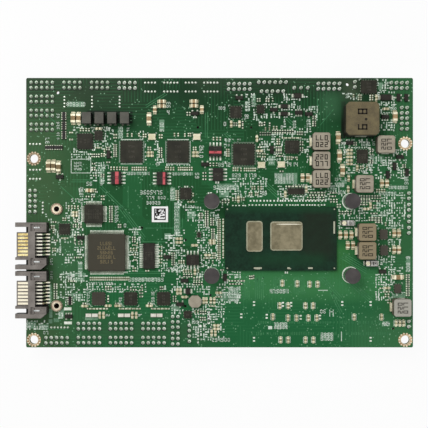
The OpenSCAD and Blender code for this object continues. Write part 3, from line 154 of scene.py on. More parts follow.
# %% Soft regions
def tinted(tree, spot, base, regions):
    """Lays over base each region: x, y, half length, half width, soft edge, colour and share."""
    part = add(tree, "ShaderNodeSeparateXYZ", {0: spot})
    for x, y, half_l, half_w, soft, colour, share in regions:
        near = []
        for axis, middle, half in ((0, x - DATUM[0], half_l), (1, y - DATUM[1], half_w)):
            off = add(tree, "ShaderNodeMath", {0: part.outputs[axis], 1: middle * MM}, operation="SUBTRACT")
            away = add(tree, "ShaderNodeMath", {0: off.outputs[0]}, operation="ABSOLUTE")
            near.append(add(tree, "ShaderNodeMapRange", {0: away.outputs[0], 1: (half + soft) * MM,
                                                         2: (half - soft) * MM}))
        both = add(tree, "ShaderNodeMath", {0: near[0].outputs[0], 1: near[1].outputs[0]},
                   operation="MULTIPLY")
        shown = add(tree, "ShaderNodeMath", {0: both.outputs[0], 1: share}, operation="MULTIPLY")
        base = add(tree, "ShaderNodeMix", {0: shown.outputs[0], 6: base.outputs[2], 7: tone(colour)},
                   data_type="RGBA")
    return base


# %% [markdown]
# ## One general finish
# Most of the board's materials differ only in their numbers. The finish mixes two close tones by a
# noise whose grain is given in millimetres, varies the roughness and lifts a fine bump, because no
# real surface is one flat colour. The noise's middle values, where most of it lies, are stretched.

# %% Finish
# Millimetres over which a finish changes to the one beyond.
FADE = 0.2


def finish(name, light, dark, grain, rough, metal=0.0, bump=0.0, bump_grain=0.2, spread=3.0, glint=0.15,
           wall=None, beyond=None, regions=()):
    """grain, bump_grain and spread are feature sizes in millimetres, bump is a height in millimetres.

    wall is a colour for upright faces: painted shade where the sides are dark, and a painted
    highlight where they are bright. beyond is (axis, millimetres, colour): past that place
    along the axis the surface has that colour, as where plating or shade changes.
    """
    material, tree = new_tree(name)
    where = add(tree, "ShaderNodeTexCoord")
    place = where.outputs["Object"]
    fine = add(tree, "ShaderNodeTexNoise", {"Vector": place, "Scale": 1000 / grain, "Detail": 3.0})
    broad = add(tree, "ShaderNodeTexNoise", {"Vector": place, "Scale": 1000 / spread, "Detail": 1.0})
    both = add(tree, "ShaderNodeMath", {0: fine.outputs["Fac"], 1: broad.outputs["Fac"]}, operation="ADD")
    share = add(tree, "ShaderNodeMapRange", {0: both.outputs[0], 1: 0.75, 2: 1.25})
    colour = add(tree, "ShaderNodeMix", {0: share.outputs[0], 6: tone(dark), 7: tone(light)},
                 data_type="RGBA")
    colour = tinted(tree, place, colour, regions)
    if wall:
        facing = add(tree, "ShaderNodeSeparateXYZ", {0: where.outputs["Normal"]})
        steep = add(tree, "ShaderNodeMapRange", {0: facing.outputs[2], 1: 0.55, 2: 0.25})
        colour = add(tree, "ShaderNodeMix", {0: steep.outputs[0], 6: colour.outputs[2], 7: tone(wall)},
                     data_type="RGBA")
    if beyond:
        axis, place_mm, other = beyond
        along = add(tree, "ShaderNodeSeparateXYZ", {0: place})
        past = add(tree, "ShaderNodeMapRange", {0: along.outputs[axis], 1: place_mm * MM,
                                                2: (place_mm + FADE) * MM})
        colour = add(tree, "ShaderNodeMix", {0: past.outputs[0], 6: colour.outputs[2], 7: tone(other)},
                     data_type="RGBA")
    gloss = add(tree, "ShaderNodeMapRange", {0: fine.outputs["Fac"], 1: 0.3, 2: 0.7,
                                             3: rough * 0.85, 4: min(1.0, rough * 1.15)})
    shader = add(tree, "ShaderNodeBsdfPrincipled", {"Base Color": colour.outputs[2],
                                                    "Roughness": gloss.outputs[0], "Metallic": metal,
                                                    "Specular IOR Level": 0.5 if metal else glint})
    if bump:
        relief = add(tree, "ShaderNodeTexNoise", {"Vector": place, "Scale": 1000 / bump_grain})
        lift = add(tree, "ShaderNodeBump", {"Height": relief.outputs["Fac"], "Distance": bump * MM})
        tree.links.new(lift.outputs[0], shader.inputs["Normal"])
    add(tree, "ShaderNodeOutputMaterial", {"Surface": shader.outputs[0]})
    return material


# %% [markdown]
# ## Solder mask over copper
# The board is glass-epoxy laminate with a green solder mask, a translucent lacquer. Over copper it
# looks lighter than over bare laminate, so pours and traces show through it as tone alone. Cells
# with square distances give the straight-edged pours, bands give the bundles of traces, drawn
# about one millimetre apart so that they show, and small round cells give the masked vias. The cut
# edge shows the tan laminate, which the normal picks out.

# %% Copper patterns under the mask
# Millimetres across a copper pour, a routed area, a crowd of vias and the cell of one via.
POUR, CLOUD, CROWD, VIA_CELL = 16.0, 14.0, 5.0, 1.2
# The wave's scale that sets its bands about one millimetre apart.
TRACE_BANDS = 260.0
mask, tree = new_tree("green_solder_mask_on_laminate")
place = add(tree, "ShaderNodeTexCoord")
spot = place.outputs["Object"]
pours = add(tree, "ShaderNodeTexVoronoi", {"Vector": spot, "Scale": 1000 / POUR}, distance="CHEBYCHEV")
cell = add(tree, "ShaderNodeSeparateColor", {0: pours.outputs["Color"]})
poured = add(tree, "ShaderNodeMapRange", {0: cell.outputs[0], 1: 0.35, 2: 0.65})
sideways = add(tree, "ShaderNodeMath", {0: cell.outputs[1], 1: 0.5}, operation="GREATER_THAN")
bands = [add(tree, "ShaderNodeTexWave", {"Vector": spot, "Scale": TRACE_BANDS, "Distortion": 0.5,
                                         "Detail": 1.0, "Detail Scale": 6.0}, bands_direction=d)
         for d in ("X", "Y")]
band = add(tree, "ShaderNodeMix", {0: sideways.outputs[0], 2: bands[0].outputs["Fac"],
                                   3: bands[1].outputs["Fac"]})
line = add(tree, "ShaderNodeMapRange", {0: band.outputs[0], 1: 0.62, 2: 0.9})
clouds = add(tree, "ShaderNodeTexNoise", {"Vector": spot, "Scale": 1000 / CLOUD, "Detail": 3.0})
routed = add(tree, "ShaderNodeMapRange", {0: clouds.outputs["Fac"], 1: 0.44, 2: 0.54})
trace = add(tree, "ShaderNodeMath", {0: line.outputs[0], 1: routed.outputs[0]}, operation="MULTIPLY")
holes = add(tree, "ShaderNodeTexVoronoi", {"Vector": spot, "Scale": 1000 / VIA_CELL})
via = add(tree, "ShaderNodeMapRange", {0: holes.outputs["Distance"], 1: 0.22, 2: 0.16})
thick = add(tree, "ShaderNodeTexNoise", {"Vector": spot, "Scale": 1000 / CROWD, "Detail": 2.0})
dense = add(tree, "ShaderNodeMapRange", {0: thick.outputs["Fac"], 1: 0.5, 2: 0.56})
pitted = add(tree, "ShaderNodeMath", {0: via.outputs[0], 1: dense.outputs[0]}, operation="MULTIPLY")
print(len(tree.nodes), "nodes of copper patterns")

# %% [markdown]
# ## Darker and lighter parts of the mask
# The mask is darkest along the rear edge and palest at the front, where a copper plane lies close
# under it. Beside the chokes and the large inductor it lies in deep shade, and so does the strip of
# board inside the corners of the drive connectors.

# %% Mask regions
SHADE, CORNER = "#10130d", "#14160f"
# Each is x, y, half length, half width, soft edge, colour and share.
mask_regions = [
    (0, 52, 200, 20, 14, "#12301a", 0.9), (0, -52, 200, 26, 14, "#1e6238", 0.9),
    (34, -27, 29, 5, 2.5, "#3a7c47", 0.85), (-72, 0, 17, 60, 9, "#3d5c3a", 0.95),
    (-60, 54, 30, 15, 7, "#2b402b", 0.85), (74, 0, 11, 60, 6, "#34683f", 0.8),
    (62, -47, 13, 8, 5, "#3b7147", 0.6), (-58, -13, 5, 11, 2, "#386641", 0.8),
    (46, -18, 4, 6, 2, "#37763d", 0.85), (20, 50, 30, 4, 3, "#2f4430", 0.7),
    (-28, -45, 26, 5, 4, "#35593a", 0.7), (-41.4, 36, 8.6, 2.5, 0.3, "#0d150f", 0.85),
    (46.7, 35, 0.8, 7, 0.2, SHADE, 0.9), (52.3, 28.9, 6, 0.8, 0.2, SHADE, 0.8),
    (28, -28, 34, 5, 4, "#3a7a49", 0.5), (42, 41, 4, 4.5, 2.5, "#3c6a48", 0.7),
    (50, 46, 3, 4, 2, "#5a6450", 0.4)]
corner_x = -72.75
for y, half in ((-6.35, 0.95), (-18.6, 0.8), (-24.6, 0.7), (-37.1, 0.8)):
    mask_regions.append((corner_x, y, 0.5, half, 0.1, CORNER, 0.9))
ground = add(tree, "ShaderNodeMix", {0: poured.outputs[0], 6: tone("#1b4f29"), 7: tone("#215c33")},
             data_type="RGBA")
drift = tinted(tree, spot, ground, mask_regions)
print(len(mask_regions), "regions")

# %% [markdown]
# ## The mask's own surface
# Traces and vias are laid over the ground as a paler green. The lacquer is smooth but not glossy,
# and it stands a little higher over a trace, which the bump gives.

# %% Mask surface
over = add(tree, "ShaderNodeMath", {0: trace.outputs[0], 1: 0.2}, operation="MULTIPLY")
lined = add(tree, "ShaderNodeMix", {0: over.outputs[0], 6: drift.outputs[2], 7: tone("#3f8656")},
            data_type="RGBA")
faint = add(tree, "ShaderNodeMath", {0: pitted.outputs[0], 1: 0.7}, operation="MULTIPLY")
dotted = add(tree, "ShaderNodeMix", {0: faint.outputs[0], 6: lined.outputs[2], 7: tone("#8fbf9a")},
             data_type="RGBA")
up = add(tree, "ShaderNodeSeparateXYZ", {0: place.outputs["Normal"]})
flat = add(tree, "ShaderNodeMath", {0: up.outputs[2]}, operation="ABSOLUTE")
face = add(tree, "ShaderNodeMapRange", {0: flat.outputs[0], 1: 0.4, 2: 0.6})
painted = add(tree, "ShaderNodeMix", {0: face.outputs[0], 6: tone("#8d8a5c"), 7: dotted.outputs[2]},
              data_type="RGBA")
height = add(tree, "ShaderNodeBump", {"Height": trace.outputs[0], "Distance": 0.03 * MM,
                                      "Strength": 0.6})
coat = add(tree, "ShaderNodeBsdfPrincipled", {"Base Color": painted.outputs[2], "Roughness": 0.42,
                                              "Specular IOR Level": 0.1,
                                              "Normal": height.outputs[0]})
add(tree, "ShaderNodeOutputMaterial", {"Surface": coat.outputs[0]})
print("mask with", len(tree.nodes), "nodes")

# %% [markdown]
# ## Metals
# Tin is the board's common metal: plated on leads and chip ends, and melted into pale rings at the
# header pins. Each is a metal shader with a slightly uneven tone, because solder freezes with a
# grain and plating is brushed.
# Joints and lands that look white from above are nearly matt, so they have little metal in them.

# %% Tin and solder
# The rear left mounting hole is duller than the others: x, y, half sides and soft edge.
dull_hole = (-70.1, 20.4, 4, 4, 0.5)
tin_leads = finish("tin_plated_leads", "#cfd1c2", "#8d9081", 0.35, 0.4, 0.7, 0.02,
                   regions=[(23, -10, 21, 11.6, 0.3, "#9c9c86", 0.75)])
dull_tin = finish("dull_edges_of_leadless_chips", "#8e9584", "#5d6554", 0.35, 0.45, 0.6, 0.02)
tin_solder = finish("reflowed_tin_solder", "#e8eee0", "#a5b4a5", 0.35, 0.26, 1.0, 0.05, 0.4)
joint = finish("pale_pin_joints", "#fdfff6", "#cedac6", 0.5, 0.4, 0.1, 0.03,
               regions=[(-66, 40, 26, 12, 2, "#b4c0ac", 0.8)])
ring_dots = finish("tinned_ring_dots", "#f4edd6", "#d8cfb0", 0.4, 0.5, 0.2,
                   regions=[(*dull_hole, "#bba98c", 0.8)])
tiny_tin = finish("tinned_ends_of_tiny_chips", "#e9eed8", "#abb59d", 0.4, 0.4, 0.5, 0.02, regions=[
    (-24, 18, 15, 1.2, 0.4, "#a3a890", 0.5), (-58.9, 33.4, 1.8, 6, 0.4, "#878a78", 0.6),
    (-62.4, 24.6, 4, 1.6, 0.4, "#878a78", 0.6), (17, 30.4, 2.8, 2.2, 0.4, "#6c7664", 0.75)])
chip_tin = finish("tinned_ceramic_ends", "#f2ecd0", "#b9b191", 0.4, 0.4, 0.5, 0.02)
print(len(bpy.data.materials), "materials with the tin")

# %% [markdown]
# ## Gold, brass, copper and steel
# Pins and contacts are gold over nickel, which keeps them from corroding. A pin that pokes through
# the board is wetted by solder, so above the laminate it turns to tin: pale on the wafer pins, and on
# the header pins a dark grey-green, tin darkened as painted shade. The drive contacts are tinned
# behind their wall. The threaded inserts are turned brass, the cooler posts nickel-plated, and the
# rings of the corner holes tinned copper that shows through.

# %% Other metals
# Where gold gives way to tin: upwards on a pin and inwards on a drive contact.
solder_line, foot_line = 1.5, 1.2
gold, dull_gold = "#dcc67c", "#9c8448"
gold_contacts = finish("gold_flashed_contacts", "#f0e4ae", "#cdb36c", 0.5, 0.25, 1.0, 0.01,
                       regions=[(-74, -30, 6, 6, 1, "#f7f1de", 0.8)], beyond=(0, foot_line, "#e2dfcd"))
# The header pins' tips above the solder line are tin darkened as painted shade.
gold_pins = finish("gold_flashed_header_pins", gold, dull_gold, 0.4, 0.3, 1.0, 0.01,
                   beyond=(2, solder_line, "#7b8c79"))
wafer_gold = finish("gold_flashed_wafer_pins", gold, dull_gold, 0.4, 0.3, 1.0, 0.01,
                    beyond=(2, solder_line, "#d3dacd"))
bare_gold = finish("bare_gold_contacts", gold, dull_gold, 0.4, 0.3, 1.0, 0.01)
brass_insert = finish("turned_brass_insert", "#d6c6ae", "#a18a74", 0.4, 0.35, 1.0, 0.02)
copper_ring = finish("tinned_copper_ring", "#c4a67c", "#7d5c3c", 0.7, 0.4, 0.6, 0.03,
                     regions=[(*dull_hole, "#5c4a36", 0.85)])
nickel_posts = finish("nickel_plated_barrel", "#d8dad8", "#9da09e", 0.6, 0.3, 1.0, 0.01)
spring_steel = finish("stamped_spring_steel", "#cfd2d0", "#8f9391", 0.6, 0.32, 1.0, 0.01)
print(len(bpy.data.materials), "materials with all metals")

# %% [markdown]
# ## Moulded bodies
# Chip packages are filled epoxy, dark and matt with a fine grain from the mould. Some are greyer
# than the rest, as the regions say. Connectors are glass-filled polymer, and the sides of the drive
# connectors are dark because little light reaches them.

# %% Moulded resins
epoxy = finish("transfer_moulded_epoxy", "#35342b", "#23231c", 0.12, 0.55, 0.0, 0.015, 0.1, regions=[
    (62, -11, 2.5, 6, 0.3, "#514d44", 0.8), (67.3, -28.8, 2.5, 2.5, 0.3, "#514d44", 0.8),
    (-46, -32, 4, 4, 0.3, "#46443a", 0.7), (-42.8, -13.7, 8, 8, 0.3, "#454237", 0.8),
    (-10, -17, 2.5, 2.5, 0.3, "#46493c", 0.7), (-26, -15, 2.5, 2.5, 0.3, "#46453a", 0.7)])
outline_epoxy = finish("moulded_epoxy_outline_package", "#312f29", "#201e1a", 0.12, 0.5, 0.0, 0.015, 0.1)
header_resin = finish("glass_filled_header_resin", "#26262a", "#18181a", 0.2, 0.5, 0.0, 0.02)
drive_resin = finish("glass_filled_connector_resin", "#8d8781", "#716b66", 0.3, 0.45, 0.0, 0.02,
                     wall="#2b2826")
cream_nylon = finish("cream_nylon", "#efe9da", "#d8d1bf", 0.4, 0.5, 0.0, 0.02)
cap_film = finish("grey_pick_up_cap", "#575352", "#434040", 0.2, 0.7, 0.0, 0.03, 0.2)
print(len(bpy.data.materials), "materials with the resins")

# %% [markdown]
# ## Ceramics, powders and the processor's materials
# Multilayer capacitors are bare fired ceramic, tan in the large ones and greener in the small ones,
# and differ in tone from batch to batch, which the broad noise gives. The inductors are iron powder
# pressed round a coil; their upright sides, and those of the moulded capacitors' sleeves, are darkened
# as painted shade. The processor's substrate is a dark green laminate, and its dies are polished
# silicon, whose upright cut edges are lightened as a painted highlight.

# %% Ceramics and powders
ceramic = finish("fired_capacitor_ceramic", "#bda27a", "#8b7654", 0.5, 0.5, 0.0, 0.01, 0.2, 4.0,
                 regions=[(-62.6, 18, 3.6, 2.6, 0.3, "#6e5f41", 0.8)])
pale_ceramic = finish("pale_capacitor_ceramic", "#b8b18a", "#8a8463", 0.5, 0.5, 0.0, 0.01, 0.2, 4.0)
tiny_ceramic = finish("fired_tiny_capacitor_ceramic", "#878565", "#56563f", 0.5, 0.5, 0.0, 0.01, 0.2, 2.5)
glaze = finish("black_resistor_glaze", "#34322f", "#1d1c1b", 0.3, 0.3, 0.0, 0.01)
alumina = finish("white_alumina", "#f0ede2", "#d5d1c3", 0.4, 0.45, 0.0, 0.01)
crystal_lid = finish("welded_crystal_lid", "#e4dec2", "#c4bd9b", 0.5, 0.4, 0.3, 0.01)
# The wall colours of the powders and the sleeve are painted shade on their upright sides.
bronze_powder = finish("pressed_powder_bronze_lacquer", "#6c6141", "#52482f", 0.35, 0.55, 0.1, 0.06, 0.35,
                       wall="#1c1912")
beige_powder = finish("pressed_powder_beige", "#aaa28f", "#918878", 0.3, 0.6, 0.1, 0.04, 0.3,
                      wall="#5a5347", regions=[(55.1, -10.7, 4.5, 8, 0.4, "#887a5c", 0.9),
                                               (68.2, -35.5, 5, 5, 0.4, "#a9a89e", 0.8)])
dark_powder = finish("pressed_ferrite", "#4b4a40", "#393830", 0.3, 0.55, 0.1, 0.05, 0.3, wall="#0d0d0b")
choke_end = finish("dull_choke_ends", "#8b8c7c", "#5b5d50", 0.4, 0.5, 0.4)
substrate = finish("dark_green_package_substrate", "#183626", "#10271a", 0.8, 0.35, 0.0, 0.01,
                   glint=0.1, regions=[(37, -8, 6, 9, 2, "#1f271c", 0.7),
                                       (22, 1.5, 21, 1.2, 1.2, "#1b4a2c", 0.5),
                                       (26, -17.5, 14, 2.2, 1.5, "#1a4228", 0.5)])
# The pale wall colour of the silicon is a painted highlight on its cut edges.
silicon = finish("polished_silicon", "#8f866b", "#6d664e", 1.2, 0.2, 0.6, 0.0, 0.2, 5.0,
                 wall="#c9c5ae")
sleeve = finish("silvered_ceramic_sleeve", "#c4c4be", "#75746f", 0.9, 0.35, 0.6, 0.02, wall="#3c3b38")
print(len(bpy.data.materials), "materials with the ceramics")

# %% [markdown]
# ## Paper and inks
# The print on the board is white epoxy ink, pressed through a screen. It is duller where it lies
# close beside three of the chips. A laser leaves its marks as pale burnt resin.

# %% Paper and inks
paper = finish("white_label_paper", "#ffffff", "#f6f6f2", 0.3, 0.8, 0.0, 0.01)
ink = finish("white_silkscreen_ink", "#eef5ea", "#b4cbb8", 0.3, 0.6, regions=[
    (9.1, 22.4, 4.9, 5.3, 0.2, "#46624a", 0.85), (-15.9, 23, 4.8, 4.3, 0.2, "#66786a", 0.7),
    (-33.2, 23, 4.9, 4.3, 0.2, "#66786a", 0.7)])
laser_grey = finish("laser_marked_epoxy", "#5c594f", "#48463f", 0.2, 0.7,
                    regions=[(-42.8, -13.7, 7, 7, 0.3, "#8f8260", 0.9)])
print(len(bpy.data.materials), "materials in all so far")

# %% [markdown]
# ## Materials onto the CAD nodes
# A CAD node keeps its mesh and its slot; only the material in the slot changes. The table reads
# like a bill of materials, one line for each family of parts.

# %% Assign
families = {
    mask: "circuit_board", copper_ring: "mounting_pads", substrate: "cpu_substrate",
    silicon: "cpu_die_large cpu_die_small", nickel_posts: "cooler_posts",
    cap_film: "cooler_post_caps", brass_insert: "threaded_inserts",
    drive_resin: "drive_connector_housings", gold_contacts: "drive_connector_contacts",
    spring_steel: "drive_connector_tabs memory_latches", epoxy: "quad_flat_bodies leadless_bodies",
    outline_epoxy: "outline_bodies diode_bodies transistor_bodies", sleeve: "moulded_capacitors",
    tin_leads: "quad_flat_leads outline_leads diode_ends transistor_leads moulded_capacitor_ends "
               "inductor_terminals crystal_pads cpu_capacitors",
    choke_end: "line_choke_ends", tin_solder: "cpu_solder_balls", joint: "header_solder wafer_solder",
    chip_tin: "large_capacitor_ends middle_capacitor_ends small_capacitor_ends",
    tiny_tin: "resistor_array_ends", dull_tin: "leadless_terminals",
    ceramic: "large_capacitors middle_capacitors", pale_ceramic: "small_capacitors",
    tiny_ceramic: "tiny_capacitors", glaze: "tiny_resistors resistor_arrays",
    alumina: "white_chips", crystal_lid: "crystals", bronze_powder: "large_inductor",
    beige_powder: "square_inductors small_inductor", dark_powder: "line_chokes",
    paper: "paper_label", header_resin: "header_bases memory_socket", gold_pins: "header_pins",
    wafer_gold: "wafer_pins", bare_gold: "memory_contacts_near memory_contacts_far",
    cream_nylon: "wafer_housings"}
dressed = set()
for material, names in families.items():
    for name in names.split():
        dressed.add(name)
        for holder in nodes[name].material_slots:
            holder.material = material
print("undressed:", sorted(set(nodes) - dressed))

# %% [markdown]
# ## A sheet of small blocks
# Lands, printed strokes and chip ends are all small blocks, hundreds of them. Each sheet is one
# piece: a bmesh collects blocks made by the cube operator, with a matrix for size, turn and place.
# The finished sheet rides on the board and names the slot that its finish comes from.

# %% Block helpers
# Heights above what carries them: lands, print, laser marks and copper under the mask.
LAND, PRINT, LASER, MASKED = 0.02, 0.015, 0.01, 0.01


def block(bm, x, y, l, w, z0, z1, turn=0.0):
    move = Matrix.Translation(at(x, y, (z0 + z1) / 2)) @ Matrix.Rotation(math.radians(turn), 4, "Z")
    size = Matrix.Diagonal((l * MM, w * MM, (z1 - z0) * MM, 1))
    return bmesh.ops.create_cube(bm, size=1.0, matrix=move @ size)["verts"]


def flat(bm, x, y, l, w, rise=LAND, turn=0.0):
    return block(bm, x, y, l, w, BOARD_TOP, BOARD_TOP + rise, turn)


def disc(bm, x, y, r, z0, z1, sides=10):
    bmesh.ops.create_cone(bm, cap_ends=True, segments=sides, radius1=r * MM, radius2=r * MM,
                          depth=(z1 - z0) * MM, matrix=Matrix.Translation(at(x, y, (z0 + z1) / 2)))


def piece(name, bm, material):
    mesh = bpy.data.meshes.new(name)
    bm.to_mesh(mesh)
    bm.free()
    mesh.materials.append(material)
    made = bpy.data.objects.new(name, mesh)
    bpy.context.scene.collection.objects.link(made)
    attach(made, "root")
    print(name, len(mesh.polygons), "faces")


# %% [markdown]
# ## Metal ends of the tiny chips
# A chip of 1 by 0.5 mm has a metal cap on each end, and solder climbs from its land to the cap.
# The cap is a block just proud of the ceramic. The solder is a block whose outer top edge is
# pulled down, which leaves the slope of a fillet with few faces.

# %% Tiny chip ends
def fillet(bm, x, y, way, reach, wide, high, toe, turn):
    """A block whose upper edge on the side towards way drops to the height toe."""
    for v in flat(bm, x, y, reach, wide, high, turn):
        out = (v.co - at(x, y)).dot(Vector((*way, 0))) > 0
        if out and v.co.z > (BOARD_TOP + 0.1) * MM:
            v.co.z = (BOARD_TOP + toe) * MM


# Middle, length and width of a metal end and of its solder, along the chip from its middle.
end_middle, end_long, end_wide = 0.39, 0.27, 0.54
solder_middle, solder_long, solder_wide, solder_high = 0.62, 0.24, 0.52, 0.24
proud = 0.02
bm = bmesh.new()
for chip in tiny_chips:
    along_x = chip.length > chip.width
    turn = 0 if along_x else 90
    for side in (-1, 1):
        dx, dy = (side, 0) if along_x else (0, side)
        block(bm, chip.x + dx * end_middle, chip.y + dy * end_middle, end_long, end_wide, BOARD_TOP,
              chip.top + proud, turn)
        fillet(bm, chip.x + dx * solder_middle, chip.y + dy * solder_middle, (dx, dy), solder_long,
               solder_wide, solder_high, 0.04, turn)
piece("tiny_chip_ends", bm, tiny_tin)

# %% [markdown]
# ## Solder lands
# Each lead stands on a land, a tinned copper rectangle a little longer than its foot. They are
# made from the leads' own boxes, so they follow the CAD model. The land is only 0.02 mm high.

# %% Lands under leads
def land_under(bm, lead, along, across):
    if lead.length > lead.width:
        flat(bm, lead.x, lead.y, lead.length + along, lead.width + across)
    else:
        flat(bm, lead.x, lead.y, lead.length + across, lead.width + along)


# A lead's land reaches out beyond its toe and has a margin at the sides.
toe, margin = 0.8, 0.16
bm = bmesh.new()
for name in ("outline_leads", "diode_ends", "transistor_leads", "moulded_capacitor_ends",
             "large_capacitor_ends", "middle_capacitor_ends", "small_capacitor_ends"):
    for lead in solids_of(name):
        land_under(bm, lead, toe if name == "outline_leads" else margin, margin)
piece("lands_of_leads", bm, tin_solder)

bm = bmesh.new()
for lead in solids_of("quad_flat_leads"):
    land_under(bm, lead, 0.7, 0.05)
piece("lands_of_quad_packages", bm, tin_solder)

# %% [markdown]
# ## Bright ends
# The left ends of most square inductors stand in a high bead of solder. The moulded capacitors
# show a round spot of it on top, at their left end.

# %% Bright solder ends
bm = bmesh.new()
for coil in solids_of("square_inductors"):
    if coil.x0 < 58 or coil.y0 < 0:
        flat(bm, coil.x0 - 0.45, coil.y, 0.8, 3.2, 1.2)
for body in solids_of("moulded_capacitors"):
    disc(bm, body.x - 1.5, body.y, 0.8, body.top, body.top + LAND, 16)
piece("bright_solder_ends", bm, chip_tin)

# %% [markdown]
# ## Fillets of the larger capacitors
# Solder climbs the metal ends of the larger capacitors too. The way out of an end is the way from
# the nearest ceramic body to it. Each fillet stands on a land that reaches a little further.

# %% Capacitor fillets
bm = bmesh.new()
for name, reach in (("large_capacitor", 0.65), ("middle_capacitor", 0.45), ("small_capacitor", 0.35)):
    bodies = [(body.x, body.y) for body in solids_of(name + "s")]
    for end in solids_of(name + "_ends"):
        dx, dy = min(((end.x - x, end.y - y) for x, y in bodies), key=lambda d: math.hypot(*d))
        if abs(dx) > abs(dy):
            way, deep, wide, turn = (math.copysign(1, dx), 0), end.length, end.width, 0
        else:
            way, deep, wide, turn = (0, math.copysign(1, dy)), end.width, end.length, 90
        away = (deep + reach) / 2
        foot = (end.x + way[0] * away, end.y + way[1] * away)
        fillet(bm, *foot, way, reach, wide * 0.9, (end.z1 - end.z0) * 0.6, 0.05, turn)
        flat(bm, *foot, reach + 0.3, wide * 0.96, LAND, turn)
piece("capacitor_fillets", bm, chip_tin)

# %% [markdown]
# ## Bare lands and test points
# Places left empty at assembly keep their tinned lands: two long rows above the processor, dashes
# beside them, and round test points. They were read from the photograph.

# %% Rows of bare lands
upper_row = [11.7, 13, 14.1, 15.4, 16.8, 18, 19.2, 20.6, 21.9, 23, 23.8, 24.8, 26.1, 27.2, 28.4, 29.2,
             30.3, 31.4, 32.6, 33.8, 35, 36.2, 37.4, 38.7, 40]
lower_row = [11.2, 12.4, 13.8, 15, 16.3, 17.5, 18.7, 19.7, 21.2, 22.5, 23.5, 25.4, 26.6, 27.6, 28.7,
             29.6, 31, 31.7, 33, 34, 35, 36, 37.3, 38.5, 39.6]
bm = bmesh.new()
for row, y, l, w in ((upper_row, 4.5, 0.56, 0.62), (lower_row, 2.9, 0.58, 0.46),
                     ((5, 6.2, 7.4, 8.9, 9.7), 2.7, 0.6, 0.4)):
    for x in row:
        flat(bm, x, y, l, w)

# %% [markdown]
# ## Single bare lands
# Larger parts left off leave a pair of wide lands, or two dashes one above the other. Both are
# symmetric about a middle, so a list holds only the middles and the sizes.

# %% Pairs of lands and test points
wide_lands = [
    (-57.3, -36.3, 2.3, 1.1), (-57.2, -41.6, 2.4, 1), (-12.6, 9.8, 1.5, .6), (-0.9, 11.4, 1.5, .8),
    (-9.3, 36, 1.4, .6), (64.2, 18.6, 1, .7), (64.2, 16.6, 1, .7), (66.8, 17.5, 1, .7),
    (46.9, 26.2, 1.6, .8), (25.2, -22.6, 1.2, .7), (-3.8, -20.6, 1.5, .7), (-3.7, 7.4, 1.5, .6),
    (-49.1, 22.1, 1.2, .6), (-49.1, 20.6, 1.2, .6), (-47.6, 23.8, 1.2, .6), (65.1, -24.4, 1, .8)]
dashes = [(8.2, -38.9), (13, -34.3), (17.8, -39.1), (20, -39.1), (46.3, -34.3), (57, -34.3),
          (50.8, -39.4), (61.1, -39.4), (13, -47.8), (57, -47.8), (30.6, -39.5), (37.9, -39.4),
          (23.9, -34.6), (27, -34.6)]
test_points = [(-4.1, -37.6), (-4.1, -39.2), (-4.1, -40.2), (-4.1, -41.6), (-7.2, -42.8), (-5.7, -42.8),
               (43.3, 1), (43.3, -21.1), (3, 1.3), (3, -21)]
for side in (-1, 1):
    for x, y, l, w in wide_lands:
        flat(bm, x + side * l * 0.3, y, l * (0.62 if l > 2 else 0.38), w)
    for x, y in dashes:
        flat(bm, x, y + side * 0.6, 0.8, 0.55)
for x, y in test_points:
    disc(bm, x, y, 0.5, BOARD_TOP, BOARD_TOP + LAND, 12)
piece("bare_lands", bm, joint)

# %% [markdown]
# ## Where nothing is scattered
# Small lands and vias will be scattered over the board, but not under its parts. The parts' own
# boxes say where those are. A few more places are kept free because the board is plain there.

# %% Places that are taken
masked_copper = finish("solder_mask_over_copper", "#4f8f5f", "#34704a", 0.5, 0.45, 0.0, 0.01)
low_parts, longest = 1.7, 60
taken = [solid for n in nodes if n not in ("circuit_board", "paper_label")
         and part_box(n)[1].z > low_parts * MM
         for solid in solids_of(n) if solid.top > low_parts and solid.length < longest]
quiet_places = [
    (20, 33.6, 4.2, 1.8), (36.4, 43.5, 2.4, 2.6), (3.8, 22, 1.3, 5), (-21, 24.4, 1.2, 4),
    (-23.2, -9.2, 2, 2.6), (17.5, 29.7, 2, 1.1), (31.1, 34.2, 2.2, 2), (44.7, 4.8, 1.3, 1.4),
    (10.8, 36.5, 1.2, 1.2), (-57.2, -13.4, 1.8, 1.6), (13, 41, 1.4, 1.4), (22.1, 43.2, 1.8, 1.2),
    (31.1, 20.6, 1.6, 1.4), (-18.7, -24.7, 1.6, 1.8), (-18.7, -6.6, 1.6, 1.2), (-9.6, 18.3, 1.2, 1.4),
    (-22.8, 29.6, 1.6, 1.6), (26.6, 34.2, 1.6, 1.4), (-50.4, 7, 1.6, 1.2), (17.5, 31.9, 2, 1),
    (15.3, 43.2, 1.4, 1.4), (31.1, 41, 1.6, 1.4), (-32.3, -4.3, 1.6, 1.2)]
taken += [Solid(x - l, y - w, 0, x + l, y + w, 0) for x, y, l, w in quiet_places]
print(len(taken), "places are taken")

# %% [markdown]
# ## Vias and the small lands between parts
# A via is a plated hole between layers; under the mask it shows as a small pale green dot. In the
# crowded parts of the board there are also bare lands, half a millimetre wide. Both fill
# rectangles at a pitch, with a fixed seed that shifts them and leaves some out, as routing would.

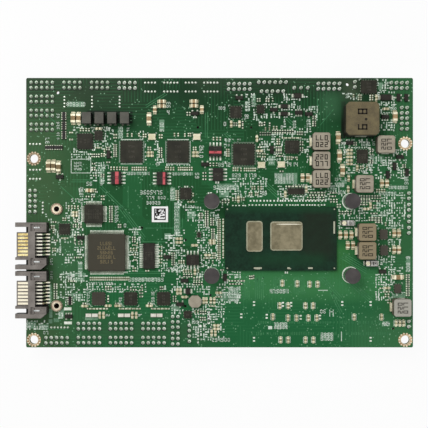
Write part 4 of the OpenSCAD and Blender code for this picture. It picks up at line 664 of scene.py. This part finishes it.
# %% Fields of lands and vias
# Each is x0, y0, x1, y1, and a routed field has its pitch too.
dense_fields = [
    (-48, 24, -39, 31), (-56, 20, -49, 24), (-48.6, 12, -43.5, 19), (-30, 20, -27.4, 31),
    (-24.4, 19, -20.6, 31), (-53, 3, -46, 9), (-58, -6, -52, 4), (-66, -16, -51, -6),
    (-34, -17, -30, -4), (-12, -3, 0, 2), (-8, -20, 0, -2), (-24, -22, -13, -6), (-60, -33, -55, -22),
    (15, 19, 34, 35), (10, 35, 37, 45), (45, -6, 70, 8), (57, 13, 71, 24), (60, 31, 66, 46),
    (22, 5, 45, 10), (-1, -34, 8, -14), (-18, -30, -6, -19), (-10, -48, 2, -34), (45, 14, 58, 28),
    (59, -33, 66, -16), (-50, -30, -28, -27), (4, 6, 18, 13), (-20, 17, -9, 20), (2, 17, 8, 28),
    (-55, 31, -40, 33), (-43.6, -20, -35, -22.6), (-58, -22.4, -50, -26), (-61.5, -40, -59, -35),
    (64, -30.2, 71, -32.2), (-1, 5, 4, 9), (-57, -34, -53, -29), (59.6, 46, 64, 50),
    (-18, -38, -14.4, -34.4), (41, 8, 44, 11), (64, -12.2, 68, -10), (-52, -33, -49.4, -29),
    (-22, -24, -19, -21), (-15.6, 1, -12.6, 4), (-15, -40, -13, -37), (-7, -31, -3.6, -27.4),
    (-34, -22.2, -30.4, -18.4), (46.6, 42.9, 52, 45), (-61, -35, -57.4, -32), (-59, -19, -55, -16.4),
    (66, -23, 69, -21), (-22.6, -30, -19.4, -27.4), (-65.6, -3.6, -62.4, 0), (0, 1, 4, 5),
    (-72.8, -44, -65, -41)]
routed_fields = [
    (-40, 2, -20, -6, 2.4), (6, -24, 44, -33, 2.6), (46, -24, 60, -36, 2.2), (-46, -4, -36, 4, 1.8),
    (-30, 32, 2, 44, 3.2), (-66, -26, -50, -46, 2.6), (2, -36, 62, -50, 3.4), (34, 44, 48, 32, 2.6)]
land_pitch, land_share, via_share = 0.95, 0.68, 0.6
land_short, land_long = 0.34, 0.66
clear = 0.3
bm, green_bm = bmesh.new(), bmesh.new()


def scatter(x0, y0, x1, y1, pitch, share, draw):
    for i in range(int(abs(x1 - x0) / pitch) + 1):
        for j in range(int(abs(y1 - y0) / pitch) + 1):
            x = min(x0, x1) + (i + random.random() * 0.3) * pitch
            y = min(y0, y1) + (j + random.random() * 0.3) * pitch
            near = any(b.x0 - clear < x < b.x1 + clear and b.y0 - clear < y < b.y1 + clear
                       for b in taken)
            if random.random() < share and not near:
                draw(x, y)


def small_land(x, y):
    upright, grown = random.random() < 0.5, random.choice((1, 1, 1.4))
    l, w = (land_short, land_long) if upright else (land_long, land_short)
    flat(bm, x, y, l * grown, w * grown)


def masked_via(x, y):
    disc(green_bm, x, y, 0.2 + random.random() * 0.08, BOARD_TOP, BOARD_TOP + MASKED, 7)


for place in dense_fields:
    scatter(*place, land_pitch, land_share, small_land)
for *place, pitch in routed_fields:
    scatter(*place, pitch, via_share, masked_via)
piece("small_lands", bm, ink)

# %% [markdown]
# ## Long traces under the mask
# A few bundles of traces run straight or at 45 degrees and catch the light. Each is a strip only
# 0.01 mm high, in the paler green that the mask has over copper. The faint ticks in the two rows
# by the front edge belong to the contacts of the memory socket on the other side.

# %% Traces
# Each bundle runs from x0, y0 to x1, y1 and has a count of traces.
bundles = [
    (-45, 10, -36, 1, 2), (-38, 3, -28, -10.5, 3), (-60, 10, -53, 3.5, 1), (-34.5, 10, -34.5, 2, 1),
    (15.5, 12.5, 23, 5.5, 3), (37, 43, 37, 35, 1), (38, 33, 43, 39, 1), (46, -16, 56, -22, 4),
    (48, -25, 58, -34, 3), (38, -24, 46, -33, 3), (42, -30, 46, -38, 2), (10, -24, 10, -33, 4),
    (15, -24, 15, -33, 5), (22, -31, 22, -24, 5), (30, -31, 30, -24, 6), (-30, -11, -20, -11, 1),
    (-28, -5.8, -14, -5.8, 1), (-14, -2, -14, -6, 1), (-36, -22.5, -22, -22.5, 2), (2, 30, 6, 26, 2),
    (-28, 40, -20, 45, 2), (-68, 40, -62, 34, 1), (-69, -44, -57, -44, 1), (59, -18, 66, -22, 2),
    (-56, 12, -48, 12, 2), (-5, 28, -5, 38, 2), (25, 36, 30, 31, 2)]
trace_pitch, trace_width = 0.75, 0.22
for x0, y0, x1, y1, count in bundles:
    run, turn = math.hypot(x1 - x0, y1 - y0), math.atan2(y1 - y0, x1 - x0)
    for i in range(count):
        shift = (i - (count - 1) / 2) * trace_pitch
        x, y = (x0 + x1) / 2 - shift * math.sin(turn), (y0 + y1) / 2 + shift * math.cos(turn)
        flat(green_bm, x, y, run * (1 - 0.06 * (i % 3)), trace_width, MASKED, math.degrees(turn))
contact_columns, first_column, column_pitch = 78, 14, 0.65
for i in range(contact_columns):
    for y in (-41.4, -45.6):
        if random.random() < 0.8:
            flat(green_bm, first_column + i * column_pitch, y, 0.2, 0.8 + random.random() * 0.5, MASKED)
piece("masked_traces_and_vias", green_bm, masked_copper)

# %% [markdown]
# ## Printed numbers
# The board is covered in small printed numbers. Each digit is drawn from the seven strokes of a
# counter's digit, since blocks are far lighter than real letter shapes and look the same at this
# size. A stroke is given by its middle in half widths and half heights, and by the way it runs.

# %% Digits
STROKES = {"a": (0, 1, 1, 0), "b": (1, .5, 0, 1), "c": (1, -.5, 0, 1), "d": (0, -1, 1, 0),
           "e": (-1, -.5, 0, 1), "f": (-1, .5, 0, 1), "g": (0, 0, 1, 0)}
DIGITS = ["abcdef", "bc", "abged", "abgcd", "fgbc", "afgcd", "afgedc", "abc", "abcdefg", "abfgcd"]
SLIM = 0.52


def number(bm, text, x, y, tall, turn, z, pen=0.23, lift=PRINT):
    c, s = math.cos(math.radians(turn)), math.sin(math.radians(turn))
    wide, step = tall * SLIM, tall * SLIM + pen * 2.4
    for n, sign in enumerate(text):
        if sign == " ":
            continue
        middle = (n - (len(text) - 1) / 2) * step
        for stroke in DIGITS[int(sign)]:
            sx, sy, flat_run, up_run = STROKES[stroke]
            px, py = middle + sx * wide / 2, sy * tall / 2
            l = wide + pen if flat_run else pen
            w = tall / 2 + pen if up_run else pen
            block(bm, x + px * c - py * s, y + px * s + py * c, l, w, z, z + lift, turn)


def some_digits(count):
    return "".join(random.choice("0123456789") for _ in range(count))


# %% [markdown]
# ## Fields of numbers
# A function fills a rectangle with rows of random numbers, standing or lying as the rectangle is
# high or wide. Every fourth sign may be a gap, which parts a row into short numbers.

# %% Number fields
# Each is x0, x1, y0, y1.
number_fields = [
    (-57.5, -51, 39.8, 42), (-61.5, -60.4, 35.3, 37.8), (-61.5, -60.4, 31.6, 34.2),
    (-61.5, -60.4, 27.5, 30.4), (-50.4, -48, 9.8, 12), (-52.8, -51.4, 4.5, 9.5), (-56, -53, 4, 5.4),
    (-45.2, -41.8, 16.4, 18.2), (-45, -43.6, 10, 12.6), (-38.3, -36.4, 28, 32.4),
    (-35, -34.1, 30.4, 32.4), (-22.8, -20.8, 30.6, 35.2), (-35, -27, 14.2, 15.4),
    (-17.7, -10, 14, 15.2), (-24.3, -22.4, 17.3, 19.4), (-20.3, -18.3, 39.6, 41.8),
    (-20.3, -18.5, 37, 38.7), (-30, -21.5, 6.5, 8.8), (-27.4, -20.6, 5, 6.3), (-27.4, -22.5, 3, 4.4),
    (-18.6, -17, 4.3, 9.3), (-12, -8.3, 1.8, 2.8), (-33, -31, -6.6, -5.6), (-36.6, -34.8, -5.6, -4),
    (-39.6, -38.2, -3.6, 2.5), (-34, -21.5, -26.2, -24.4), (-49, -41, -27.2, -26.2),
    (-53.5, -51.7, -24.4, -18.4), (-57.6, -55.5, -24.9, -23.6), (-59.5, -57.6, -27.2, -25.6),
    (-61.2, -59.3, -14.8, -13), (-53.4, -51.8, -14.4, -12.8), (-63.9, -63, -20, -17),
    (-63.9, -63, -25.5, -22), (-62, -60.3, -39.6, -37.6), (-68.4, -64.7, -44.1, -42.7),
    (-43, -41.4, -39.6, -37.8), (-30.8, -29.3, -39.6, -37.8), (-1, 2.3, 38.8, 40.2),
    (9.4, 11.4, 38, 42), (12, 13.2, 40, 44.7), (1, 3, 32.5, 34.5), (-8, -5.8, 20.6, 25.5),
    (-0.6, 4.2, 17.2, 19), (2, 4, 25, 26), (-2, 7, 8.4, 10.6), (5, 13.6, 13.3, 14.9),
    (15.4, 17.8, 6.2, 8.2), (20.8, 28, 11, 14.8), (18.4, 20.6, 18, 20.8), (25, 29.4, 17.3, 19.2),
    (32, 33.8, 22.3, 24.4), (19.6, 20.8, 26, 29.4), (22.8, 24.2, 31.6, 33), (27.6, 28.9, 31.6, 35),
    (23.8, 26.2, 42.3, 43.5), (28.7, 30.8, 39.2, 40.4), (32.8, 34.2, 32, 35), (43.6, 47, 9.6, 11.4),
    (47.6, 48.8, 43.2, 45), (62.4, 63.6, 47.9, 49.6), (65, 67, 38.8, 41), (62, 63.8, 40.2, 41.6),
    (52.8, 58.7, 25.2, 27), (60.4, 62, 18.5, 20), (53, 56, 14.6, 16.2), (60.4, 64, -1, 0.5),
    (63.5, 71, 8.8, 10.2), (66.5, 68.6, -5.2, -3.4), (-50.2, -48.9, -34.9, -29.8),
    (-38, -36.8, -34.9, -29.8), (-25.8, -24.5, -34.9, -29.8), (19, 26, -30.6, -28.8),
    (20.5, 25.6, -44, -41.4), (38, 43, -48.4, -45.2), (37.4, 40.6, -38.2, -36.4), (61.3, 64, -43, -41),
    (-3, 4, -48.8, -47.2), (3.2, 7.4, -33.6, -28), (-55, -52, 15.8, 19.4), (70.2, 72, -22.4, -16.4),
    (-17.1, -15.4, -8, 3.6), (-12, -8, -42, -40.6), (-66, -64, 26, 28.4), (69.6, 71.4, 10.6, 14),
    (43, 48, 12, 13.2), (60.6, 66.4, 6.6, 8), (-9.4, -7.6, 12.6, 15.4), (9, 11.4, 34.6, 37.4),
    (2, 4.2, 26.6, 28), (-73, -71.4, -44, -41), (-66.6, -64.6, -46, -44.6), (27.4, 33, 9.6, 10.8),
    (56.6, 58.6, 18.6, 22.4), (45, 48, 6.8, 8.6)]


def field(bm, x0, x1, y0, y1):
    wide, high = abs(x1 - x0), abs(y1 - y0)
    turn = 0 if wide >= high else 90
    run, rise = max(wide, high), min(wide, high)
    lines = max(1, int(rise / 1.25))
    tall = min(1.3, rise / lines * 0.76)
    signs = max(1, int(run / (tall * SLIM + 0.4)))
    for r in range(lines):
        text = "".join(random.choice("0123456789   " if i % 4 == 3 else "0123456789")
                       for i in range(signs))
        shift = (r - (lines - 1) / 2) * rise / lines
        number(bm, text, (x0 + x1) / 2 - (shift if turn else 0),
               (y0 + y1) / 2 + (0 if turn else shift), tall, turn, BOARD_TOP)


bm = bmesh.new()
for place in number_fields:
    field(bm, *place)
piece("printed_numbers", bm, ink)

# %% [markdown]
# ## Print too small to read
# In the crowded places the printed signs are so small that they run together into a pale, speckled
# patch. A thin plate under the numbers has that colour, with a grain as wide as a pen stroke. Each
# plate has a height of its own, so that two that overlap never flicker.

# %% Faded print
faded = finish("fine_silkscreen_print", "#86a78d", "#4f7b5b", 0.3, 0.6)
# Each is x, y, length, width.
fine_print = [
    (-16, -2.5, 2.2, 12.6), (-17.7, 7, 1.8, 5), (-28, -25.2, 11.6, 1.3), (-13.8, 14.7, 7.6, 1.1),
    (-31, 14.9, 7.8, 1.1), (3, 9.8, 8, 2.3), (25, 12.9, 8.6, 4.2), (-37.4, 30.2, 1.9, 4.2),
    (-21.8, 32.9, 1.9, 4.4), (-54.2, 40.9, 6.3, 2), (19.6, 19.6, 2.6, 3.4), (5.3, -30.8, 4.2, 5.4),
    (22.6, -29.6, 7, 1.7), (23.1, -42.7, 5, 2.4), (40.5, -46.8, 5, 3), (71.2, -19.4, 1.6, 6),
    (-52.6, -21.4, 1.7, 5.8), (45.4, 10.5, 3.4, 1.8), (-10.6, -0.8, 3, 2.8), (-19.6, -8.9, 2.4, 2.2),
    (62.8, -41.9, 3, 1.8), (-44.4, 14, 1.8, 6), (13, 42.4, 1.2, 4.4), (67.2, 9.5, 7.4, 1.3),
    (-54, -23.4, 7, 1.2), (-53, -25.2, 4, 1.4), (-59.8, -38, 2.2, 3.4), (67.6, -31.4, 5, 1.4),
    (-71, -42.4, 3.6, 2.6), (-66.4, -43, 3.8, 1.6), (1.7, 7, 3.6, 2.4), (-63.7, -38, 1.2, 3.4),
    (-48.3, -39.9, 5, 1.3), (60.8, 47.8, 1.8, 2.6), (-16.4, -36, 2.6, 2), (42.5, 9.4, 2, 1.8),
    (-54.8, -31.5, 2.2, 2.4), (-63.9, -30.5, 0.8, 7), (60.8, 20.4, 2.2, 2.2), (-63.8, -41, 1.4, 1.6),
    (-61.6, -40.6, 2, 1.4), (-61.6, -36.6, 1.6, 1), (47, 11.6, 2, 1.4), (1.6, -31.6, 3, 3),
    (-52.8, -32, 1, 3)]
bm = bmesh.new()
for i, place in enumerate(fine_print):
    flat(bm, *place, 0.005 + i * 0.0002)
piece("fine_print_patches", bm, faded)

# %% [markdown]
# ## Printed frames
# White lines run beside the large chips and bracket the corners of the small ones, to place parts
# by hand and check their turn. Each side of a box gets two strokes that start at its corners, and
# strokes as long as half the side close it to a frame.

# %% Brackets and lines
def brackets(bm, x0, y0, x1, y1, gap, pen=0.17, arm=0.22):
    l, w = x1 - x0 + 2 * gap, y1 - y0 + 2 * gap
    x, y = (x0 + x1) / 2, (y0 + y1) / 2
    for side in (-1, 1):
        for other in (-1, 1):
            flat(bm, x + side * l / 2 * (1 - arm / 2), y + other * w / 2, l * arm / 2, pen, PRINT)
            flat(bm, x + other * l / 2, y + side * w / 2 * (1 - arm / 2), pen, w * arm / 2, PRINT)


bm = bmesh.new()
for chip in solids_of("leadless_bodies"):
    if chip.length > 7:
        for shift in (-1, 1):
            flat(bm, chip.x + shift * (chip.length / 2 + 0.5), chip.y, 0.3, chip.width)
            flat(bm, chip.x, chip.y + shift * (chip.width / 2 + 0.5), chip.length, 0.3)
    else:
        brackets(bm, chip.x0, chip.y0, chip.x1, chip.y1, 0.6)
for lid in solids_of("crystals"):
    brackets(bm, lid.x0, lid.y0, lid.x1, lid.y1, 0.45)
brackets(bm, -56, 15, -48.6, 20.2, 0, 0.22, 1.0)
for chip in solids_of("small_capacitors"):
    if chip.y1 < -25 and chip.x0 > 18:
        for side in (chip.x0 - 0.35, chip.x1 + 0.35):
            flat(bm, side, chip.y, 0.2, 2.3, PRINT)
strokes = [(39, -29.3, 3.6, 0.3), (46, -46.7, 0.3, 3.6), (42.2, -37.4, 1.7, 0.3), (41.6, -37.9, 0.3, 2.6),
           (42.9, -37.9, 0.3, 2.6), (19.1, -43.4, 1.5, 1.2), (62.8, -41.9, 2.9, 0.3),
           (34.8, -35.2, 0.25, 2.2)]
for stroke in strokes:
    flat(bm, *stroke, PRINT)
piece("printed_frames", bm, ink)

# %% [markdown]
# ## Marks on the packages
# A laser writes rows of plain digits on the chips. They stand 0.01 mm above the part's own top,
# which is read from its solid, so they follow the CAD model. A row runs along the longer side.

# %% Package marks
bm = bmesh.new()
for body in solids_of("quad_flat_bodies"):
    lines, tall, turn = (5, 1.1, 180) if body.length > 10 else (3, 0.8, 0)
    for i in range(lines):
        number(bm, some_digits(7 if i % 2 else 5), body.x, body.y + (i - (lines - 1) / 2) * tall * 1.55,
               tall, turn, body.top, 0.18, LASER)
for body in solids_of("leadless_bodies") + solids_of("outline_bodies"):
    short, run = min(body.length, body.width), max(body.length, body.width)
    if short < 2.5:
        continue
    turn = 0 if body.length >= body.width else 90
    for i in (-1, 0, 1) if short > 3.6 else (0,):
        shift = i * short * 0.24
        number(bm, some_digits(max(2, int(run * 0.6))), body.x - (shift if turn else 0),
               body.y + (0 if turn else shift), 0.62, turn, body.top, 0.12, LASER)
piece("laser_marks", bm, laser_grey)

# %% [markdown]
# ## Values on the inductors
# Two rows of three digits are printed on each square inductor, which way up depends on the column
# it stands in. The large one has two tall digits with a dot between, and the moulded capacitors a
# few bars at one end.

# %% Inductor values
value_ink = finish("dark_value_ink", "#2d2922", "#1e1b16", 0.3, 0.6)
stack_x, upright_y = 38, 19.5
bm = bmesh.new()
for coil in solids_of("square_inductors"):
    stacked = abs(coil.x - stack_x) < 1
    turn = (0 if abs(coil.y - upright_y) < 1 else 180) if stacked else 90
    dx, dy = (0, -1.25 if turn == 180 else 1.25) if stacked else (-1.05, 0)
    tall, pen = (1.6, 0.34) if stacked else (1.5, 0.29)
    number(bm, "220", coil.x + dx, coil.y + dy, tall, turn, coil.top, pen, LASER)
    number(bm, "077", coil.x - dx, coil.y - dy, tall, turn, coil.top, pen, LASER)
    if stacked:
        disc(bm, coil.x + (2.4 if turn == 180 else -2.4), coil.y, 0.3, coil.top, coil.top + LASER, 10)
for body in solids_of("moulded_capacitors"):
    for dx, w in ((-0.55, 1.9), (0.6, 1.3), (1.3, 0.5)):
        block(bm, body.x + dx, body.y, 0.35, w, body.top, body.top + LASER)
coil = solids_of("large_inductor")[0]
number(bm, "6 8", coil.x - 0.1, coil.y - 0.3, 3.0, 90, coil.top, 0.55, LASER)
disc(bm, coil.x + 1.2, coil.y - 0.3, 0.5, coil.top, coil.top + LASER, 12)
piece("inductor_values", bm, value_ink)

# %% [markdown]
# ## Red stripes
# Three small packages carry a painted stripe at their first lead. Paint is thin, so a stripe is a
# block 0.01 mm high on the package's top.

# %% Red stripes
red_paint = finish("red_orientation_paint", "#d66a6e", "#b94a54", 0.3, 0.5)
package_top = max(body.top for body in solids_of("outline_bodies"))
bm = bmesh.new()
for x, y, l, w in ((-38.6, 13.1, 1.3, 4.6), (-20.9, 12.9, 0.9, 4.6), (-1.6, 22.7, 4.6, 0.9)):
    block(bm, x, y, l, w, package_top, package_top + LASER)
piece("red_stripes", bm, red_paint)

# %% [markdown]
# ## The label's pattern
# The paper label is filled by a chequer of black cells. The cells of the border are all black, and
# those inside are drawn at random, so the pattern means nothing.

# %% Label pattern
black_ink = finish("black_thermal_ink", "#1a1a1a", "#0e0e0e", 0.3, 0.6)
cells, cell_side, filled = 11, 0.4, 0.45
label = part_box("paper_label")
label_top = label[1].z / MM
label_x = (label[0].x + label[1].x) / 2 / MM + DATUM[0]
label_y = (label[0].y + label[1].y) / 2 / MM + DATUM[1]
bm = bmesh.new()
for i in range(cells):
    for j in range(cells):
        if i in (0, cells - 1) or j in (0, cells - 1) or random.random() < filled:
            block(bm, label_x + (i - cells // 2) * cell_side, label_y + (j - cells // 2) * cell_side,
                  cell_side, cell_side, label_top, label_top + LASER)
piece("label_pattern", bm, black_ink)

# %% [markdown]
# ## Processor details
# The bare dies sit in a bead of underfill, which shows as a pale rim. The bead starts as one
# rectangle with bevelled corners, inset twice: its outer edge is left low, the next one is lifted
# to the die's top, and the middle is deleted so that the die shows.

# %% Underfill beads
underfill = finish("amber_underfill", "#bdbba2", "#9b997f", 0.5, 0.3)
substrate_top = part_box("cpu_substrate")[1].z / MM


def inset(bm, sheet, wide):
    bmesh.ops.inset_region(bm, faces=[sheet], thickness=wide * MM, use_even_offset=True,
                           use_boundary=True)


def bead(bm, lo, hi, corner, out, rim, low, high):
    """A sloped rim round a die, from low outside to high at the die's edge, and rim wide on top."""
    middle, l, w = (lo + hi) / 2, hi.x - lo.x + 2 * out * MM, hi.y - lo.y + 2 * out * MM
    spot = Matrix.Translation((middle.x, middle.y, low * MM)) @ Matrix.Diagonal((l / 2, w / 2, 1, 1))
    corners = bmesh.ops.create_grid(bm, x_segments=1, y_segments=1, size=1.0, matrix=spot)["verts"]
    made = bmesh.ops.bevel(bm, geom=corners, offset=(corner + out) * MM, segments=5, affect="VERTICES",
                           profile=0.5, material=-1)
    sheet = max(made["verts"][0].link_faces, key=lambda f: f.calc_area())
    inset(bm, sheet, out)
    for v in sheet.verts:
        v.co.z = high * MM
    inset(bm, sheet, rim)
    bmesh.ops.delete(bm, geom=[sheet], context="FACES")


bm = bmesh.new()
for name in ("cpu_die_large", "cpu_die_small"):
    lo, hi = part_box(name)
    bead(bm, lo, hi, 1.1, 0.1, 0.32, substrate_top + 0.01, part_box(name)[1].z / MM + 0.01)
piece("underfill_beads", bm, underfill)

# %% [markdown]
# ## Marks and the painted highlight on the die edge
# Small tinned marks sit at the substrate's corners and along its front edge. Along the large die's
# rear edge, pale strips are a painted highlight for the lamp caught by the polished cut edge. Three
# strips, each shorter, wider and higher than the one before, make it taper.

# %% Substrate marks and the painted die edge highlight
bm = bmesh.new()
for x, y in ((2.9, -20.9), (43.2, -20.9), (43.2, 1.3), (2.9, 1.3)):
    disc(bm, x, y, 0.28, substrate_top, substrate_top + LASER, 12)
for x, y, l in ((26.3, -21.1, 1.2), (14.4, -21.2, 1.6)):
    block(bm, x, y, l, 0.3, substrate_top, substrate_top + LASER)
piece("substrate_marks", bm, tin_leads)

# A painted highlight: pale, shiny strips laid on the die's top.
die_edge_highlight = finish("painted_highlight_on_die_edge", "#e3dfcb", "#cfcab3", 1.0, 0.15, 1.0)
die_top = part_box("cpu_die_large")[1].z / MM
bm = bmesh.new()
for l, w, lift in ((9.4, 0.14, 0.6), (7.8, 0.26, 0.8), (6.0, 0.4, 1.0)):
    block(bm, 26.1, -4.35, l, w, die_top, die_top + LASER * lift)
piece("painted_die_edge_highlight", bm, die_edge_highlight)

# %% [markdown]
# ## Solder rings of the posts
# A cooler post is soldered by a flange a little wider than its barrel, and the ring of solder
# shows where the tall post leans away from the camera. The two posts on the right show more of it.

# %% Post rings
left_ring, right_ring, ring_height = 2.95, 3.14, 0.12
bm = bmesh.new()
for post in solids_of("cooler_posts"):
    disc(bm, post.x, post.y, right_ring if post.x0 > 20 else left_ring, BOARD_TOP,
         BOARD_TOP + ring_height, 40)
piece("post_solder_rings", bm, joint)

# %% [markdown]
# ## Marks round the holes
# The ring of a corner hole has small tinned vias all round, and a bright inner lip. An insert has a
# bright lip too, with a ring of painted shade outside it, and a disc of painted shade deep in its
# bore. A flat ring is a filled circle, inset and opened.

# %% Rings and vias
def ring(bm, x, y, inner, outer, z):
    made = bmesh.ops.create_circle(bm, cap_ends=True, segments=36, radius=outer * MM,
                                   matrix=Matrix.Translation(at(x, y, z)))
    sheet = made["verts"][0].link_faces[0]
    inset(bm, sheet, outer - inner)
    bmesh.ops.delete(bm, geom=[sheet], context="FACES")


via_count, via_circle, via_radius = 14, 2.35, 0.3
pad_lip, insert_lip, insert_gap = (1.62, 1.8), (1.05, 1.3), (1.85, 2.05)
bm, shade_bm = bmesh.new(), bmesh.new()
for pad in solids_of("mounting_pads"):
    for i in range(via_count):
        turn = math.tau * i / via_count
        disc(bm, pad.x + via_circle * math.cos(turn), pad.y + via_circle * math.sin(turn),
             via_radius, pad.top, pad.top + LAND, 8)
    ring(bm, pad.x, pad.y, *pad_lip, pad.top + LAND)
for insert in solids_of("threaded_inserts"):
    ring(bm, insert.x, insert.y, *insert_lip, insert.top + LAND)
    # Painted shade: a dark ring outside the insert's lip and a dark disc down in its bore.
    ring(shade_bm, insert.x, insert.y, *insert_gap, insert.top + LAND)
    disc(shade_bm, insert.x, insert.y, 1.0, -2.6, -2.4, 20)
piece("pale_hole_marks", bm, ring_dots)

# %% [markdown]
# ## Joint highlights and painted shade
# Each header joint has a painted highlight on its top, a little to one side, and painted shade on the
# other. Dark plates of painted shade close the deep peg holes and the pockets in the drive
# connectors, because no light comes out.

# %% Joint highlights and painted shade
bm = bmesh.new()
for solder in solids_of("header_solder"):
    # Per joint, a dark disc of painted shade and a bright disc as a painted highlight.
    disc(shade_bm, solder.x - 0.2, solder.y - 0.22, 0.68, BOARD_TOP, BOARD_TOP + LAND, 10)
    disc(bm, solder.x + 0.1, solder.y + 0.12, 0.5, BOARD_TOP, solder.top + 0.03, 12)
peg_holes = [(-29.3, -5.7), (-12.9, -10.3), (-12.9, -35.3), (-12.8, 1.1), (-8.2, 32.2), (11.9, 32.1)]
for x, y in peg_holes:
    disc(shade_bm, x, y, 0.47, 0.2, 0.5, 14)
pocket_depth, pocket_x, pocket_l, pocket_w = 0.6, -70.8, 1.06, 2.64
pocket_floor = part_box("drive_connector_housings")[1].z / MM - pocket_depth
for tab in solids_of("drive_connector_tabs"):
    block(shade_bm, pocket_x, tab.y, pocket_l, pocket_w, pocket_floor, pocket_floor + LAND)
piece("painted_joint_highlights", bm, joint)
piece("painted_shade_plates", shade_bm, header_resin)

# %% [markdown]
# ## Ribs between contact feet
# Behind each drive connector black resin ribs part the contacts' feet, so that solder can't bridge
# them. A rib is high beside the wall and low where the feet reach the board.

# %% Contact ribs
CONTACT_PITCH, RIBS, rib_width = 1.27, 8, 0.42
connector_middles = (-11.95, -30.15)
bm = bmesh.new()
for middle in connector_middles:
    for k in range(RIBS):
        y = middle + (k - (RIBS - 1) / 2) * CONTACT_PITCH
        flat(bm, -67.35, y, 2.4, rib_width, 2.7)
        flat(bm, -65.3, y, 1.7, rib_width, 0.7)
piece("contact_ribs", bm, header_resin)

# %% [markdown]
# ## Camera
# The photograph looks straight down from about 0.31 m, so the tall parts near the edges lean
# outwards a little. The lens is as long as that distance and the photograph's frame ask for.

# %% Camera
scene = bpy.context.scene
camera = bpy.data.objects.new("camera", bpy.data.cameras.new("camera"))
camera_height, focal_length = 316.6, 70.2
camera.location = at(-2.1, -0.5, camera_height)
camera.data.lens = focal_length
camera.data.sensor_width = 36.0
camera.data.clip_start = 0.01
scene.collection.objects.link(camera)
scene.camera = camera
scene.view_settings.view_transform = "Standard"
print("camera at", [round(c, 3) for c in camera.location])

# %% [markdown]
# ## Lamps
# Two large lamps give the photograph's gentle shadows: the key from the rear left, and a weak fill
# from the front right. Each is turned towards the middle of the board.

# %% Lamps
for name, spot, watts, side in (("key", at(-230, 260, 420), 1.75, 0.35),
                                ("fill", at(300, -190, 380), 0.45, 0.5)):
    lamp = bpy.data.lights.new(name, "AREA")
    lamp.energy, lamp.size = watts, side
    lamp_object = bpy.data.objects.new(name, lamp)
    lamp_object.location = spot
    lamp_object.rotation_euler = (at(0, 0) - spot).to_track_quat("-Z", "Y").to_euler()
    scene.collection.objects.link(lamp_object)
print(len(bpy.data.lights), "lamps")

# %% [markdown]
# ## World
# The world is white to the camera and to reflections, as in a white studio, and softer to the
# parts, so that the lamps' shadows aren't washed out. The kind of ray decides.

# %% World
world = bpy.data.worlds.new("white_room")
scene.world = world
world.use_nodes = True
tree = world.node_tree
tree.nodes.clear()
path = add(tree, "ShaderNodeLightPath")
seen = add(tree, "ShaderNodeMath", {0: path.outputs["Is Camera Ray"], 1: path.outputs["Is Glossy Ray"]},
           operation="MAXIMUM")
seen = add(tree, "ShaderNodeMath", {0: seen.outputs[0], 1: path.outputs["Is Transmission Ray"]},
           operation="MAXIMUM")
level = add(tree, "ShaderNodeMapRange", {0: seen.outputs[0], 3: 0.38, 4: 1.0})
sky = add(tree, "ShaderNodeBackground", {"Color": (1, 1, 1, 1), "Strength": level.outputs[0]})
add(tree, "ShaderNodeOutputWorld", {"Surface": sky.outputs[0]})
print("world with", len(tree.nodes), "nodes")

# %% [markdown]
# ## Floor
# The pale floor keeps the board's shadow. Most of what the camera sees of it is a plain white glow,
# as on a lit table, and the rest is matt paint that takes the shadow.

# %% Floor
floor_paint, tree = new_tree("white_table_paint")
spot = add(tree, "ShaderNodeTexCoord").outputs["Object"]
grain = add(tree, "ShaderNodeTexNoise", {"Vector": spot, "Scale": 400.0})
level = add(tree, "ShaderNodeMapRange", {0: grain.outputs["Fac"], 3: 0.86, 4: 0.9})
table = add(tree, "ShaderNodeBsdfDiffuse", {"Color": level.outputs[0]})
glow = add(tree, "ShaderNodeEmission", {"Color": (1, 1, 1, 1), "Strength": 1.0})
path = add(tree, "ShaderNodeLightPath")
share = add(tree, "ShaderNodeMapRange", {0: path.outputs["Is Camera Ray"], 3: 0.0, 4: 0.93})
both = add(tree, "ShaderNodeMixShader", {0: share.outputs[0], 1: table.outputs[0], 2: glow.outputs[0]})
add(tree, "ShaderNodeOutputMaterial", {"Surface": both.outputs[0]})
bm = bmesh.new()
table_gap, table_half = 0.2 * MM, 3.0
low = cad_box[0][2] - table_gap
bmesh.ops.create_grid(bm, x_segments=1, y_segments=1, size=table_half,
                      matrix=Matrix.Translation((0.07, 0.05, low)))
floor_mesh = bpy.data.meshes.new("table_top")
bm.to_mesh(floor_mesh)
bm.free()
floor_mesh.materials.append(floor_paint)
floor = bpy.data.objects.new("table_top", floor_mesh)
scene.collection.objects.link(floor)
print("floor at", round(low, 4))
